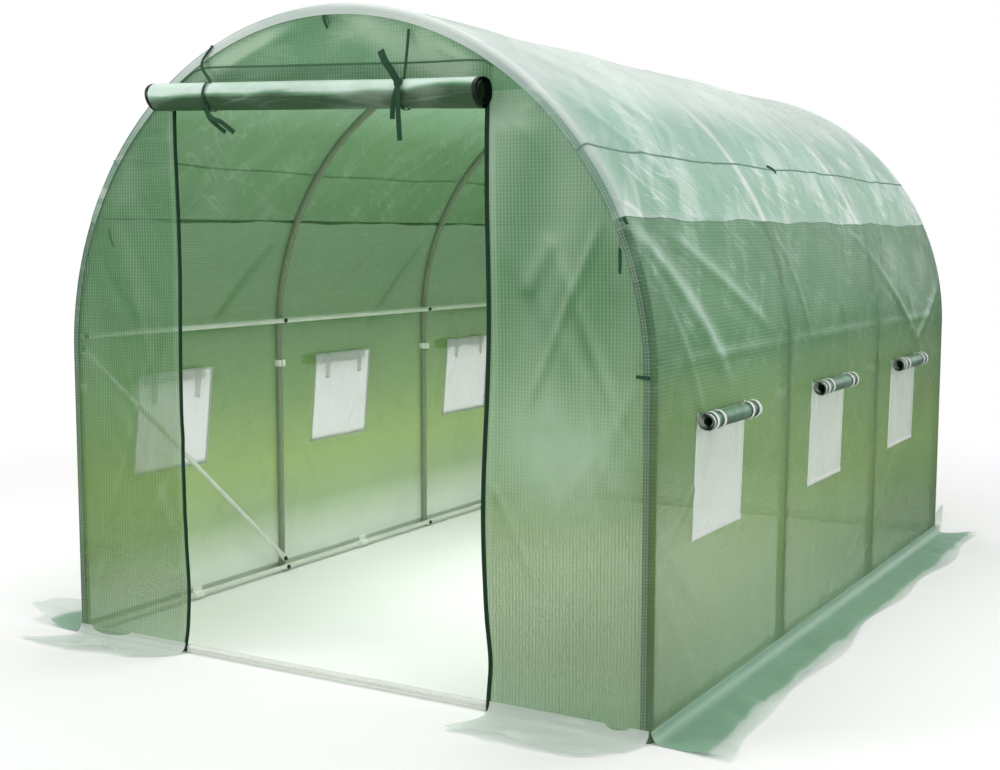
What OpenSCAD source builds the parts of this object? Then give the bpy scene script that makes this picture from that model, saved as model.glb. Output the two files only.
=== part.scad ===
// Garden tunnel greenhouse: a frame of bent steel tubes under a sewn film cover,
// with a rolled-up door at the front and three netted windows along each side.
// Millimetres. X runs across the tunnel, Y from the door to the back, Z up.
// The origin lies on the ground in the middle of the footprint.

/* [Tunnel] */
// Width over the cover
tunnel_w = 2000; // [1800:10:2600]
// Length over the end sheets
tunnel_l = 3000; // [2800:10:4000]
// Height of the straight wall below the arch
wall_h = 900; // [860:10:1200]

/* [Frame] */
// Diameter of the legs and bows
hoop_d = 25; // [20:0.5:32]
// Length of a bow's straight ends, between the arch and the joint with the legs
bow_end_l = 105; // [40:5:250]
// Diameter of the rails
rail_d = 19; // [14:0.5:25]
// Height of the side rails above the spring of the arch
rail_rise = 55; // [20:1:200]
// Height of the ground rails above the ground
rail_lift = 8; // [6:0.5:30]
// Diameter of the braces
brace_d = 16; // [12:0.5:22]
// Width of a brace's flattened end
brace_flat_w = 22; // [18:0.5:30]
// Thickness of a brace's flattened end
brace_flat_t = 5; // [3:0.5:8]
// Length of a brace's flattened end, beyond its bolt
brace_flat_l = 24; // [16:1:50]

/* [Fittings] */
// Wall of the collar over each joint
collar_t = 6; // [3:0.5:10]
// Height of the collar
collar_h = 24; // [15:1:50]
// Reach of the clamp lug on the collar
lug_l = 9; // [5:0.5:15]
// Width of the clamp lug
lug_w = 14; // [8:0.5:20]
// Wall of the snap clips on the ground rails
clip_t = 3; // [2:0.5:5]
// Length of a snap clip
clip_l = 42; // [25:1:80]

/* [Cover] */
// Thickness of the film sheets
film_t = 3; // [2:0.5:5]
// Angle of the seam between side and roof sheets, above the spring of the arch
seam_angle = 24.7; // [15:0.1:40]
// Width of the side skirts on the ground
side_skirt_w = 220; // [100:5:400]
// Width of the end skirts on the ground
end_skirt_w = 150; // [100:5:400]

/* [Doorway] */
// Width of the doorway
door_w = 1070; // [800:10:1300]
// Height of the header between the doorway and the ridge
header_h = 260; // [200:10:500]
// Width of a zip beside the doorway
zip_w = 14; // [8:1:25]
// Height of the zip teeth behind the film
zip_rib = 2; // [1:0.5:3]
// Diameter of the rolled-up door
door_roll_d = 80; // [60:1:110]
// Length of the rolled-up door
door_roll_l = 1120; // [900:10:1300]
// Height of the roll's axis above the doorway
door_roll_rise = 12; // [0:1:40]
// Slope of the roll, which hangs lower on the right
door_roll_slope = 2; // [0:0.1:4]
// Distance of the roll's middle to the left of the doorway's
door_roll_shift = 25; // [0:1:60]

/* [Windows] */
// Width of a window
window_w = 350; // [250:5:450]
// Height of a window
window_h = 340; // [250:5:400]
// Height of the window's lower edge above the ground
window_sill_h = 478; // [350:1:520]
// Distance from the front to the middle of the first window
window_start = 445; // [350:5:600]
// Distance between the middles of two windows
window_pitch = 960; // [700:5:1200]
// Width of the hem tape round a window
hem_w = 20; // [12:1:40]
// Thickness of the hem tape
hem_t = 2; // [1:0.5:4]
// Diameter of a rolled-up window flap
flap_roll_d = 48; // [36:1:70]
// Length of a rolled-up window flap
flap_roll_l = 400; // [300:5:480]
// Depth of the flap roll's axis below the window's upper edge
flap_roll_drop = 28; // [10:1:60]

/* [Tapes] */
// Width of the door ties
tie_w = 18; // [10:1:30]
// Thickness of the door ties
tie_t = 2; // [1:0.5:4]
// Place of the left door tie, to the left of the roll's middle
left_tie_x = 330; // [100:5:450]
// Place of the right door tie, to the right of the roll's middle
right_tie_x = 315; // [100:5:450]
// Length of the loose ends of the left tie
left_tail_l = 55; // [20:5:150]
// Length of the loose ends of the right tie
right_tail_l = 95; // [20:5:150]
// Diameter of the knot of a door tie
knot_d = 22; // [12:1:30]
// Width of the straps round the flap rolls
strap_w = 16; // [10:1:30]
// Thickness of the straps
strap_t = 1.5; // [1:0.5:3]

/* [Hidden] */
$fn = 180;
// Play between a tube, roll or sheet and what it lies against
seat_gap = 0.3;
// Extra length of a cut past the faces that it goes through
overrun = 1;
// Length of the thin slices that a brace's swaged taper runs between
slice_l = 0.2;

hoop_r = hoop_d / 2;
rail_r = rail_d / 2;
brace_r = brace_d / 2;
half_w = tunnel_w / 2;
half_l = tunnel_l / 2;
half_door = door_w / 2;
joint_h = wall_h - bow_end_l;
rail_h = wall_h + rail_rise;
door_h = wall_h + half_w - header_h;

// Faces of the cover's inside, and the hoops that stand against them
inner_x = half_w - film_t;
inner_y = half_l - film_t;
leg_x = inner_x - seat_gap - hoop_r;
end_hoop_y = inner_y - seat_gap - hoop_r;
// The film bends round the tube of the end hoops, and the end sheets start inside the bend
rim_r = hoop_r + seat_gap + film_t;
end_sheet_x = leg_x - seat_gap;
bay_count = 3;
bay_l = 2 * end_hoop_y / bay_count;
rail_seat_r = leg_x - hoop_r - seat_gap - rail_r;
ground_rail_z = rail_lift + rail_r;

// Braces run from below a side rail to above a ground rail
brace_taper_l = 3 * brace_d;
brace_top_z = rail_h - rail_d - brace_flat_w - seat_gap;
brace_foot_z = rail_lift + rail_d + brace_flat_w - seat_gap;
brace_x = leg_x - hoop_r - seat_gap - brace_r;

// Snap clips are slit below and have a finger tab above
clip_slit_w = rail_r;
clip_tab_h = rail_d;

// Rolled door: film layers with air between them, held off the header by the ties
door_film_t = film_t;
door_roll_r = door_roll_d / 2;
door_roll_halves = 4;
door_roll_pitch = 0.2 * door_roll_d;
door_roll_z = door_h + door_roll_rise;
door_roll_y = -half_l - seat_gap - tie_t - seat_gap - door_roll_r;
door_web_h = door_roll_r + door_roll_rise;

// Door ties hang from the seam under the front bow
tie_hang_r = half_w - hoop_d;
tie_loop_r = door_roll_r + seat_gap + tie_t;
tail_angle = 9;

// Rolled window flaps, held off the hem tape by their straps
window_top_z = window_sill_h + window_h;
hem_top_z = window_top_z + hem_w / 2;
flap_film_t = film_t;
flap_roll_r = flap_roll_d / 2;
flap_roll_halves = 4;
flap_roll_pitch = 0.24 * flap_roll_d;
strap_loop_r = flap_roll_r + seat_gap + strap_t;
flap_roll_x = half_w + hem_t + strap_loop_r;
flap_roll_z = window_top_z - flap_roll_drop;
flap_web_h = hem_top_z - flap_roll_z;
window_count = 3;

// Places of the straps along a flap roll
strap_shares = [0.06, 0.2, 0.8, 0.94];

tube_color = [0.70, 0.77, 0.69];
film_color = [0.50, 0.68, 0.52];
roof_color = [0.76, 0.87, 0.80];
skirt_color = [0.62, 0.74, 0.66];
fitting_color = [0.90, 0.92, 0.90];
tape_color = [0.08, 0.27, 0.18];
net_color = [0.78, 0.80, 0.78];

function hoop_y(i) = i * bay_l - end_hoop_y;
function window_y(i) = window_start + i * window_pitch - half_l;

// Everything on the left is the mirror image of its fellow on the right
module on_left() {
    mirror([1, 0, 0]) children();
}

// Legs: straight tubes from the ground to the joint with the bow
module hoop_leg(i) {
    color(tube_color) translate([leg_x, hoop_y(i), 0]) cylinder(r = hoop_r, h = joint_h);
}

module front_left_leg() on_left() hoop_leg(0);
module front_right_leg() hoop_leg(0);
module second_left_leg() on_left() hoop_leg(1);
module second_right_leg() hoop_leg(1);
module third_left_leg() on_left() hoop_leg(2);
module third_right_leg() hoop_leg(2);
module back_left_leg() on_left() hoop_leg(3);
module back_right_leg() hoop_leg(3);

// Bows: half circles with straight ends that stand on the legs
module hoop_bow(i) {
    color(tube_color) translate([0, hoop_y(i), 0]) {
        translate([0, 0, wall_h]) rotate([90, 0, 0])
            rotate_extrude(angle = 180) translate([leg_x, 0]) circle(hoop_r);
        for (side = [-1, 1])
            translate([side * leg_x, 0, joint_h]) cylinder(r = hoop_r, h = wall_h - joint_h);
    }
}

module front_bow() hoop_bow(0);
module second_bow() hoop_bow(1);
module third_bow() hoop_bow(2);
module back_bow() hoop_bow(3);

// Collars: rings with a clamp lug over each joint of leg and bow, left open where
// the leg lies against the side sheet and, on the end hoops, against the end sheet.
// end is -1 on the front hoop, 1 on the back hoop and 0 on the hoops between them.
module joint_collar(i, end) {
    ring_r = hoop_r + seat_gap + collar_t;
    translate([leg_x, hoop_y(i), joint_h - collar_h / 2]) linear_extrude(collar_h) difference() {
        union() {
            circle(ring_r);
            translate([-ring_r - lug_l + collar_t / 2, -lug_w / 2]) square([lug_l, lug_w]);
        }
        circle(hoop_r + seat_gap);
        translate([hoop_r, -ring_r]) square(2 * ring_r);
        if (end != 0)
            translate([-ring_r, end * (hoop_r + ring_r) - ring_r]) square(2 * ring_r);
        if (end != 0)
            translate([0, (end - 1) * ring_r]) square(2 * ring_r);
    }
}

module joint_collars() {
    color(fitting_color) for (i = [0 : bay_count]) {
        end = i == 0 ? -1 : (i == bay_count ? 1 : 0);
        joint_collar(i, end);
        on_left() joint_collar(i, end);
    }
}

// Rails: one under the ridge, one along each side, and one round the ground
module long_rail(angle) {
    color(tube_color) translate([rail_seat_r * cos(angle), 0, wall_h + rail_seat_r * sin(angle)])
        translate([0, end_hoop_y + hoop_r, 0]) rotate([90, 0, 0])
            cylinder(r = rail_r, h = 2 * (end_hoop_y + hoop_r));
}

module ridge_rail() long_rail(90);
module right_side_rail() long_rail(asin(rail_rise / rail_seat_r));
module left_side_rail() on_left() right_side_rail();

module right_ground_rail() {
    half = end_hoop_y - rail_r - seat_gap;
    color(tube_color) translate([rail_seat_r, half, ground_rail_z]) rotate([90, 0, 0])
        cylinder(r = rail_r, h = 2 * half);
}

module left_ground_rail() on_left() right_ground_rail();

module cross_rail(y) {
    half = leg_x - hoop_r - seat_gap;
    color(tube_color) translate([-half, y, ground_rail_z]) rotate([0, 90, 0])
        cylinder(r = rail_r, h = 2 * half);
}

module front_ground_rail() cross_rail(-end_hoop_y);
module back_ground_rail() cross_rail(end_hoop_y);

// Braces: tubes swaged flat at both ends and bolted to the legs
module brace_end() {
    translate([brace_r - brace_flat_t, 0, 0]) rotate([0, 90, 0])
        cylinder(d = brace_flat_w, h = brace_flat_t);
    translate([brace_r - brace_flat_t, -brace_flat_w / 2, 0])
        cube([brace_flat_t, brace_flat_w, brace_flat_l]);
    hull() {
        translate([brace_r - brace_flat_t, -brace_flat_w / 2, brace_flat_l - slice_l])
            cube([brace_flat_t, brace_flat_w, slice_l]);
        translate([0, 0, brace_flat_l + brace_taper_l])
            cylinder(r = brace_r, h = slice_l, $fn = 32);
    }
}

module brace(top_hoop, foot_hoop) {
    run = hoop_y(top_hoop) - hoop_y(foot_hoop);
    rise = brace_top_z - brace_foot_z;
    brace_l = norm([run, rise]);
    tube_start = brace_flat_l + brace_taper_l;
    color(tube_color) translate([brace_x, hoop_y(foot_hoop), brace_foot_z])
        rotate([atan2(-run, rise), 0, 0]) {
            brace_end();
            translate([0, 0, brace_l]) mirror([0, 0, 1]) brace_end();
            translate([0, 0, tube_start])
                cylinder(r = brace_r, h = brace_l - 2 * tube_start);
        }
}

module front_left_brace() on_left() brace(0, 1);
module back_right_brace() brace(3, 2);

// Snap clips on the ground rails, one in the middle of each bay
module rail_clip(i) {
    clip_r = rail_r + seat_gap + clip_t;
    translate([rail_seat_r, hoop_y(i) + (bay_l + clip_l) / 2, ground_rail_z]) rotate([90, 0, 0])
        difference() {
            union() {
                cylinder(r = clip_r, h = clip_l);
                translate([-clip_t / 2, 0, 0]) cube([clip_t, clip_r + clip_tab_h, clip_l]);
            }
            translate([0, 0, -overrun]) cylinder(r = rail_r + seat_gap, h = clip_l + 2 * overrun);
            translate([-clip_slit_w / 2, -clip_r - overrun, -overrun])
                cube([clip_slit_w, clip_r + overrun, clip_l + 2 * overrun]);
        }
}

module rail_clips() {
    color(fitting_color) for (i = [0 : bay_count - 1]) {
        rail_clip(i);
        on_left() rail_clip(i);
    }
}

// Section through the film along the tunnel: straight between the end hoops,
// and bent round each of them by a quarter of a ring
module film_section() {
    translate([inner_x, -end_hoop_y]) square([film_t, 2 * end_hoop_y]);
    for (back = [0, 1]) mirror([0, back]) translate([leg_x, end_hoop_y]) intersection() {
        difference() {
            circle(rim_r);
            circle(rim_r - film_t);
        }
        square(rim_r);
    }
}

// That section swung over the arch from one angle to another
module film_arch(from_angle, to_angle) {
    translate([0, 0, wall_h]) rotate([90, 0, 0]) rotate([0, 0, from_angle])
        rotate_extrude(angle = to_angle - from_angle) film_section();
}

// Side sheets: upright film that turns into the arch up to the seam, cut for the windows
module right_side_sheet() {
    color(film_color) difference() {
        union() {
            linear_extrude(wall_h) film_section();
            film_arch(0, seam_angle);
        }
        for (i = [0 : window_count - 1])
            translate([inner_x - overrun, window_y(i) - window_w / 2, window_sill_h])
                cube([film_t + 2 * overrun, window_w, window_h]);
    }
}

module left_side_sheet() on_left() right_side_sheet();

// Roof sheet: one arched film between the two seams
module roof_sheet() {
    color(roof_color) film_arch(seam_angle, 180 - seam_angle);
}

// End sheets: the outline inside the rims in film, with the doorway left out at the front
module end_outline() {
    translate([-end_sheet_x, 0]) square([2 * end_sheet_x, wall_h]);
    intersection() {
        translate([0, wall_h]) circle(end_sheet_x);
        translate([-end_sheet_x, wall_h]) square([2 * end_sheet_x, end_sheet_x]);
    }
}

module front_sheet() {
    color(film_color) translate([0, -inner_y, 0]) rotate([90, 0, 0]) linear_extrude(film_t) children();
}

module front_right_panel() {
    front_sheet() intersection() {
        end_outline();
        translate([half_door, 0]) square([end_sheet_x - half_door, door_h]);
    }
}

module front_left_panel() on_left() front_right_panel();

module front_header() {
    front_sheet() intersection() {
        translate([0, wall_h]) circle(end_sheet_x);
        translate([-end_sheet_x, door_h]) square([2 * end_sheet_x, header_h]);
    }
}

module back_panel() {
    color(film_color) translate([0, half_l, 0]) rotate([90, 0, 0]) linear_extrude(film_t) end_outline();
}

// Skirts: strips of film that lie on the ground along the foot of each sheet
module right_skirt() {
    color(skirt_color) translate([half_w, -half_l, 0]) cube([side_skirt_w, tunnel_l, film_t]);
}

module left_skirt() on_left() right_skirt();

module front_right_skirt() {
    color(skirt_color) translate([half_door, -half_l - end_skirt_w, 0])
        cube([half_w - half_door, end_skirt_w, film_t]);
}

module front_left_skirt() on_left() front_right_skirt();

module back_skirt() {
    color(skirt_color) translate([-half_w, half_l, 0]) cube([tunnel_w, end_skirt_w, film_t]);
}

// Zips: a strip down each side of the doorway, thicker on the inside
module door_zips() {
    color(tape_color) for (side = [-1, 1])
        translate([side * (half_door - zip_w / 2) - zip_w / 2, -half_l, 0])
            cube([zip_w, film_t + zip_rib, door_h]);
}

// Rolled film: half rings that step inwards by half a pitch, drawn round Z.
// The outer layer ends in a straight web along +Y, where the film hangs.
module film_roll(r, t, pitch, halves, l, web_h) {
    for (k = [0 : halves - 1])
        translate([(k % 2) * pitch / 2, 0, 0]) rotate([0, 0, 180 * (k + 1)])
            rotate_extrude(angle = 180) translate([r - k * pitch / 2 - t, 0]) square([t, l]);
    translate([-r, 0, 0]) cube([t, web_h, l]);
}

// The door's roll slopes a little, and its ties slope with it
module at_door_roll() {
    translate([-door_roll_shift, door_roll_y, door_roll_z]) rotate([0, door_roll_slope, 0]) children();
}

module door_roll() {
    color(roof_color) at_door_roll() translate([door_roll_l / 2, 0, 0]) rotate([90, 0, -90])
        film_roll(door_roll_r, door_film_t, door_roll_pitch, door_roll_halves, door_roll_l, door_web_h);
}

// Door tie: a tape loop from the seam round the roll, with a knot and two loose ends
module door_tie(x, tail_l, $fn = 48) {
    hang_z = wall_h + sqrt(pow(tie_hang_r, 2) - pow(x, 2)) - door_roll_z;
    hang_y = tie_loop_r - tie_t;
    color(tape_color) at_door_roll() translate([x, 0, 0]) {
        translate([-tie_w / 2, 0, 0]) rotate([90, 0, 90]) linear_extrude(tie_w) difference() {
            hull() {
                circle(tie_loop_r);
                translate([hang_y, hang_z]) circle(tie_t);
            }
            hull() {
                circle(tie_loop_r - tie_t);
                translate([hang_y, hang_z - 2 * tie_t]) circle(tie_t / 4);
            }
        }
        translate([0, 0, tie_t - tie_loop_r - knot_d / 2]) {
            sphere(d = knot_d);
            for (side = [-1, 1]) rotate([0, side * tail_angle, 0])
                translate([-tie_w / 2, -tie_t / 2, -knot_d / 2 - tail_l])
                    cube([tie_w, tie_t, tail_l + knot_d / 2]);
        }
    }
}

module left_door_tie() door_tie(-left_tie_x, left_tail_l);
module right_door_tie() door_tie(right_tie_x, right_tail_l);

// Window nets: a net in each opening, sewn behind a frame of hem tape
module window_net(i) {
    translate([inner_x, window_y(i), window_sill_h]) {
        translate([0, seat_gap - window_w / 2, seat_gap])
            cube([film_t, window_w - 2 * seat_gap, window_h - 2 * seat_gap]);
        translate([film_t, 0, 0]) difference() {
            translate([0, -(window_w + hem_w) / 2, -hem_w / 2])
                cube([hem_t, window_w + hem_w, window_h + hem_w]);
            translate([-overrun, (hem_w - window_w) / 2, hem_w / 2])
                cube([hem_t + 2 * overrun, window_w - hem_w, window_h - hem_w]);
        }
    }
}

module right_window_nets() {
    color(net_color) for (i = [0 : window_count - 1]) window_net(i);
}

module left_window_nets() on_left() right_window_nets();

// Window flaps, rolled up above the nets
module right_flap_rolls() {
    color(film_color) for (i = [0 : window_count - 1])
        translate([flap_roll_x, window_y(i) + flap_roll_l / 2, flap_roll_z]) rotate([90, 0, 0])
            film_roll(flap_roll_r, flap_film_t, flap_roll_pitch, flap_roll_halves, flap_roll_l, flap_web_h);
}

module left_flap_rolls() on_left() right_flap_rolls();

// Straps round each flap roll, sewn to the hem tape above the window
module flap_strap() {
    difference() {
        cylinder(r = strap_loop_r, h = strap_w);
        translate([0, 0, -overrun]) cylinder(r = strap_loop_r - strap_t, h = strap_w + 2 * overrun);
        translate([-strap_loop_r, 0, -overrun])
            cube([strap_t + seat_gap + flap_film_t, strap_loop_r, strap_w + 2 * overrun]);
    }
    translate([-strap_loop_r, 0, 0]) cube([strap_t, flap_web_h, strap_w]);
}

module right_flap_straps() {
    color(fitting_color) for (i = [0 : window_count - 1], share = strap_shares)
        translate([
            flap_roll_x,
            window_y(i) + (share - 0.5) * flap_roll_l + strap_w / 2,
            flap_roll_z
        ]) rotate([90, 0, 0]) flap_strap();
}

module left_flap_straps() on_left() right_flap_straps();

front_left_leg();
front_right_leg();
second_left_leg();
second_right_leg();
third_left_leg();
third_right_leg();
back_left_leg();
back_right_leg();
front_bow();
second_bow();
third_bow();
back_bow();
joint_collars();
ridge_rail();
left_side_rail();
right_side_rail();
left_ground_rail();
right_ground_rail();
front_ground_rail();
back_ground_rail();
front_left_brace();
back_right_brace();
rail_clips();
left_side_sheet();
right_side_sheet();
roof_sheet();
front_left_panel();
front_right_panel();
front_header();
back_panel();
left_skirt();
right_skirt();
front_left_skirt();
front_right_skirt();
back_skirt();
door_zips();
door_roll();
left_door_tie();
right_door_tie();
left_window_nets();
right_window_nets();
left_flap_rolls();
right_flap_rolls();
left_flap_straps();
right_flap_straps();
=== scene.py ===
import math

import bmesh
import bpy
import numpy as np
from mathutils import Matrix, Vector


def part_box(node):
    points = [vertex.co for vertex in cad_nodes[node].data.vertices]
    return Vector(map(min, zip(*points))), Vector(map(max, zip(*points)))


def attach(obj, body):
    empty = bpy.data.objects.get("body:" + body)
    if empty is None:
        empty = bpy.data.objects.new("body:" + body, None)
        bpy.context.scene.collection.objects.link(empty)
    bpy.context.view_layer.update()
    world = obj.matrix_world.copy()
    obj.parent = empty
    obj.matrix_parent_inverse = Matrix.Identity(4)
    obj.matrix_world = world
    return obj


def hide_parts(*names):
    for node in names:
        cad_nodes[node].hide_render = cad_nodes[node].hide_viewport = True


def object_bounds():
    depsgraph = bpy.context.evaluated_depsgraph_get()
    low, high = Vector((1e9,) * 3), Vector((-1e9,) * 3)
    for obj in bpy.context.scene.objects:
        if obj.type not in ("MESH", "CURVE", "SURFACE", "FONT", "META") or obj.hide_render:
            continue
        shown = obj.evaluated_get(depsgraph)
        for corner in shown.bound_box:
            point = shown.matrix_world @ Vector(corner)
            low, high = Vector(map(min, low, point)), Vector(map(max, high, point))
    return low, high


# The frame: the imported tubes, collars and clips stay as they come in. The plain film solids
# come in with them, and the sewn pieces further down stand for those one by one.
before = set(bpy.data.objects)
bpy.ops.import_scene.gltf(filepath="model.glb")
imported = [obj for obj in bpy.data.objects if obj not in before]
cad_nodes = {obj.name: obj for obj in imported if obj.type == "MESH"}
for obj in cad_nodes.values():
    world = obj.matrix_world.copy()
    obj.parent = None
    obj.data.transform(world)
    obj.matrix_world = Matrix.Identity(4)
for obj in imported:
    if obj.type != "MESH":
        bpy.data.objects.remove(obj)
cad_low, cad_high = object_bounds()


# The studio: a white floor that runs off into white, an even pale sky and soft lamps overhead.
# The eye stands in front of the door and to its right, at about shoulder height.
eye_place = (2.4056, -4.6834, 1.272)
eye_yaw = 0.5259
eye_pitch = -0.1047
eye_roll = -0.0019
lens_mm = 51.2
sensor_mm = 36.0
sky_strength = 0.52
mirrored_sky = 0.5
floor_half = 40.0
floor_grey = 0.93
mirrored_floor = 0.35
shadow_reach = (2.4, 4.6)
soft_lamps = {
    "overhead_lamp": {"place": (0.0, 0.0, 5.6), "size": (6.0, 6.0), "power": 230.0, "spread": 180},
    "back_lamp": {"place": (4.2, 8.5, 3.6), "size": (7.0, 4.5), "power": 115.0, "spread": 180},
    "left_lamp": {"place": (-4.5, -5.0, 3.4), "size": (3.0, 3.0), "power": 110.0, "spread": 180},
    "right_lamp": {"place": (5.5, -3.0, 3.0), "size": (3.0, 3.0), "power": 75.0, "spread": 180},
    "inner_lamp": {"place": (0.0, 0.0, 1.78), "size": (0.7, 2.5), "power": 14.0, "spread": 100},
}
lamp_aim = (0.0, 0.0, 0.9)


def put(tree, kind, inputs=None, **settings):
    """Adds one node of a kind to a tree, gives it its settings, and sets or links its inputs."""
    node = tree.nodes.new(kind)
    for name, value in settings.items():
        setattr(node, name, value)
    for name, value in (inputs or {}).items():
        if isinstance(value, bpy.types.NodeSocket):
            tree.links.new(value, node.inputs[name])
        else:
            node.inputs[name].default_value = value
    return node


def calc(tree, operation, *values):
    """One sum on numbers or sockets, such as ADD or MULTIPLY, and its result."""
    return put(tree, "ShaderNodeMath", dict(enumerate(values)), operation=operation).outputs[0]


def rise(tree, value, low, high):
    """A smooth step: 0 where the value is under low, 1 where it is over high."""
    inputs = {"Value": value, "From Min": low, "From Max": high}
    return put(tree, "ShaderNodeMapRange", inputs, interpolation_type="SMOOTHSTEP").outputs[0]


def ray_kinds(tree):
    """Two switches: 1 for rays that reach the eye straight or through film, and 1 for mirrored rays."""
    path = put(tree, "ShaderNodeLightPath")
    seen = calc(tree, "MAXIMUM", path.outputs["Is Camera Ray"], path.outputs["Is Transmission Ray"])
    return seen, path.outputs["Is Glossy Ray"]


scene = bpy.context.scene
scene.view_settings.view_transform = "Standard"
camera_data = bpy.data.cameras.new("camera")
camera_data.lens = lens_mm
camera_data.sensor_width = sensor_mm
camera = bpy.data.objects.new("camera", camera_data)
camera.location = eye_place
camera.rotation_euler = (math.pi / 2 + eye_pitch, eye_roll, eye_yaw)
scene.collection.objects.link(camera)
scene.camera = camera

scene.world = bpy.data.worlds.new("even_sky")
scene.world.use_nodes = True
sky = scene.world.node_tree
sky.nodes.clear()
seen, mirrored = ray_kinds(sky)
sky_level = calc(sky, "MULTIPLY_ADD", seen, 1.0 - sky_strength, sky_strength)
sky_level = calc(sky, "MULTIPLY_ADD", mirrored, mirrored_sky - sky_strength, sky_level)
sky_light = put(sky, "ShaderNodeBackground", {"Color": (1, 1, 1, 1), "Strength": sky_level})
put(sky, "ShaderNodeOutputWorld", {"Surface": sky_light.outputs[0]})

for lamp_name, lamp in soft_lamps.items():
    lamp_data = bpy.data.lights.new(lamp_name, "AREA")
    lamp_data.shape = "RECTANGLE"
    lamp_data.size, lamp_data.size_y = lamp["size"]
    lamp_data.energy = lamp["power"]
    lamp_data.spread = math.radians(lamp["spread"])
    lamp_object = bpy.data.objects.new(lamp_name, lamp_data)
    lamp_object.location = lamp["place"]
    towards = Vector(lamp_aim) - Vector(lamp["place"])
    lamp_object.rotation_euler = towards.to_track_quat("-Z", "Y").to_euler()
    lamp_object.visible_camera = False
    lamp_object.visible_glossy = lamp_name != "inner_lamp"
    scene.collection.objects.link(lamp_object)

floor_mesh = bpy.data.meshes.new("floor")
floor_signs = ((-1, -1), (1, -1), (1, 1), (-1, 1))
floor_corners = [(x * floor_half, y * floor_half, 0.0) for x, y in floor_signs]
floor_mesh.from_pydata(floor_corners, [], [(0, 1, 2, 3)])
floor = bpy.data.objects.new("floor", floor_mesh)
scene.collection.objects.link(floor)
floor_paint = bpy.data.materials.new("white_floor")
floor_paint.use_nodes = True
floor_tree = floor_paint.node_tree
floor_tree.nodes.clear()
floor_place = put(floor_tree, "ShaderNodeTexCoord").outputs["Object"]
floor_far = put(floor_tree, "ShaderNodeVectorMath", {0: floor_place}, operation="LENGTH").outputs["Value"]
seen, mirrored = ray_kinds(floor_tree)
floor_fade = calc(floor_tree, "MULTIPLY", rise(floor_tree, floor_far, *shadow_reach), seen)
floor_glows = calc(floor_tree, "MAXIMUM", floor_fade, mirrored)
floor_level = calc(floor_tree, "MULTIPLY_ADD", mirrored, mirrored_floor - 1.0, 1.0)
floor_matt = put(floor_tree, "ShaderNodeBsdfDiffuse", {"Color": (floor_grey, floor_grey, floor_grey, 1)})
floor_glow = put(floor_tree, "ShaderNodeEmission", {"Color": (1, 1, 1, 1), "Strength": floor_level})
floor_mix = put(floor_tree, "ShaderNodeMixShader",
                {0: floor_glows, 1: floor_matt.outputs[0], 2: floor_glow.outputs[0]})
put(floor_tree, "ShaderNodeOutputMaterial", {"Surface": floor_mix.outputs[0]})
floor_mesh.materials.append(floor_paint)


# Legs, bows, rails and braces: thin steel tube, bent and swaged cold. The hoops have a dull grey-green
# coat, and the rails and braces are painted paler, a painted highlight for the light they catch inside.
# All are scuffed by handling, and dirty where they stand near the ground.
hoop_colour = (144, 157, 134)
lit_rail_colour = (228, 232, 224)
hoop_scuff_colour = (140, 150, 138)
lit_rail_scuff_colour = (194, 200, 190)
soil_colour = (120, 108, 84)
soil_reach = 0.22


def paint(red, green, blue):
    """A colour given in the usual 0 to 255 steps as the shader's linear values."""
    steps = np.array([red, green, blue]) / 255.0
    linear = np.where(steps <= 0.04045, steps / 12.92, ((steps + 0.055) / 1.055) ** 2.4)
    return (*linear.tolist(), 1.0)


def tint(tree, share, first, second, mode="MIX"):
    """Two colours mixed by a share, and the result."""
    node = put(tree, "ShaderNodeMix", {0: share, 6: first, 7: second}, data_type="RGBA", blend_type=mode)
    return node.outputs[2]


def new_group(name, vectors, numbers, results):
    """An empty shader node group with its sockets named: the vectors and numbers that it takes and
    the numbers that it gives. Its two end nodes come with it."""
    tree = bpy.data.node_groups.new(name, "ShaderNodeTree")
    for socket in vectors + numbers:
        kind = "NodeSocketVector" if socket in vectors else "NodeSocketFloat"
        tree.interface.new_socket(socket, in_out="INPUT", socket_type=kind)
    for socket in results:
        tree.interface.new_socket(socket, in_out="OUTPUT", socket_type="NodeSocketFloat")
    return tree, tree.nodes.new("NodeGroupInput"), tree.nodes.new("NodeGroupOutput")


def use_group(tree, group, inputs):
    """A shader node group put into a tree, and its results by name."""
    return put(tree, "ShaderNodeGroup", inputs, node_tree=group).outputs


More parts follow.
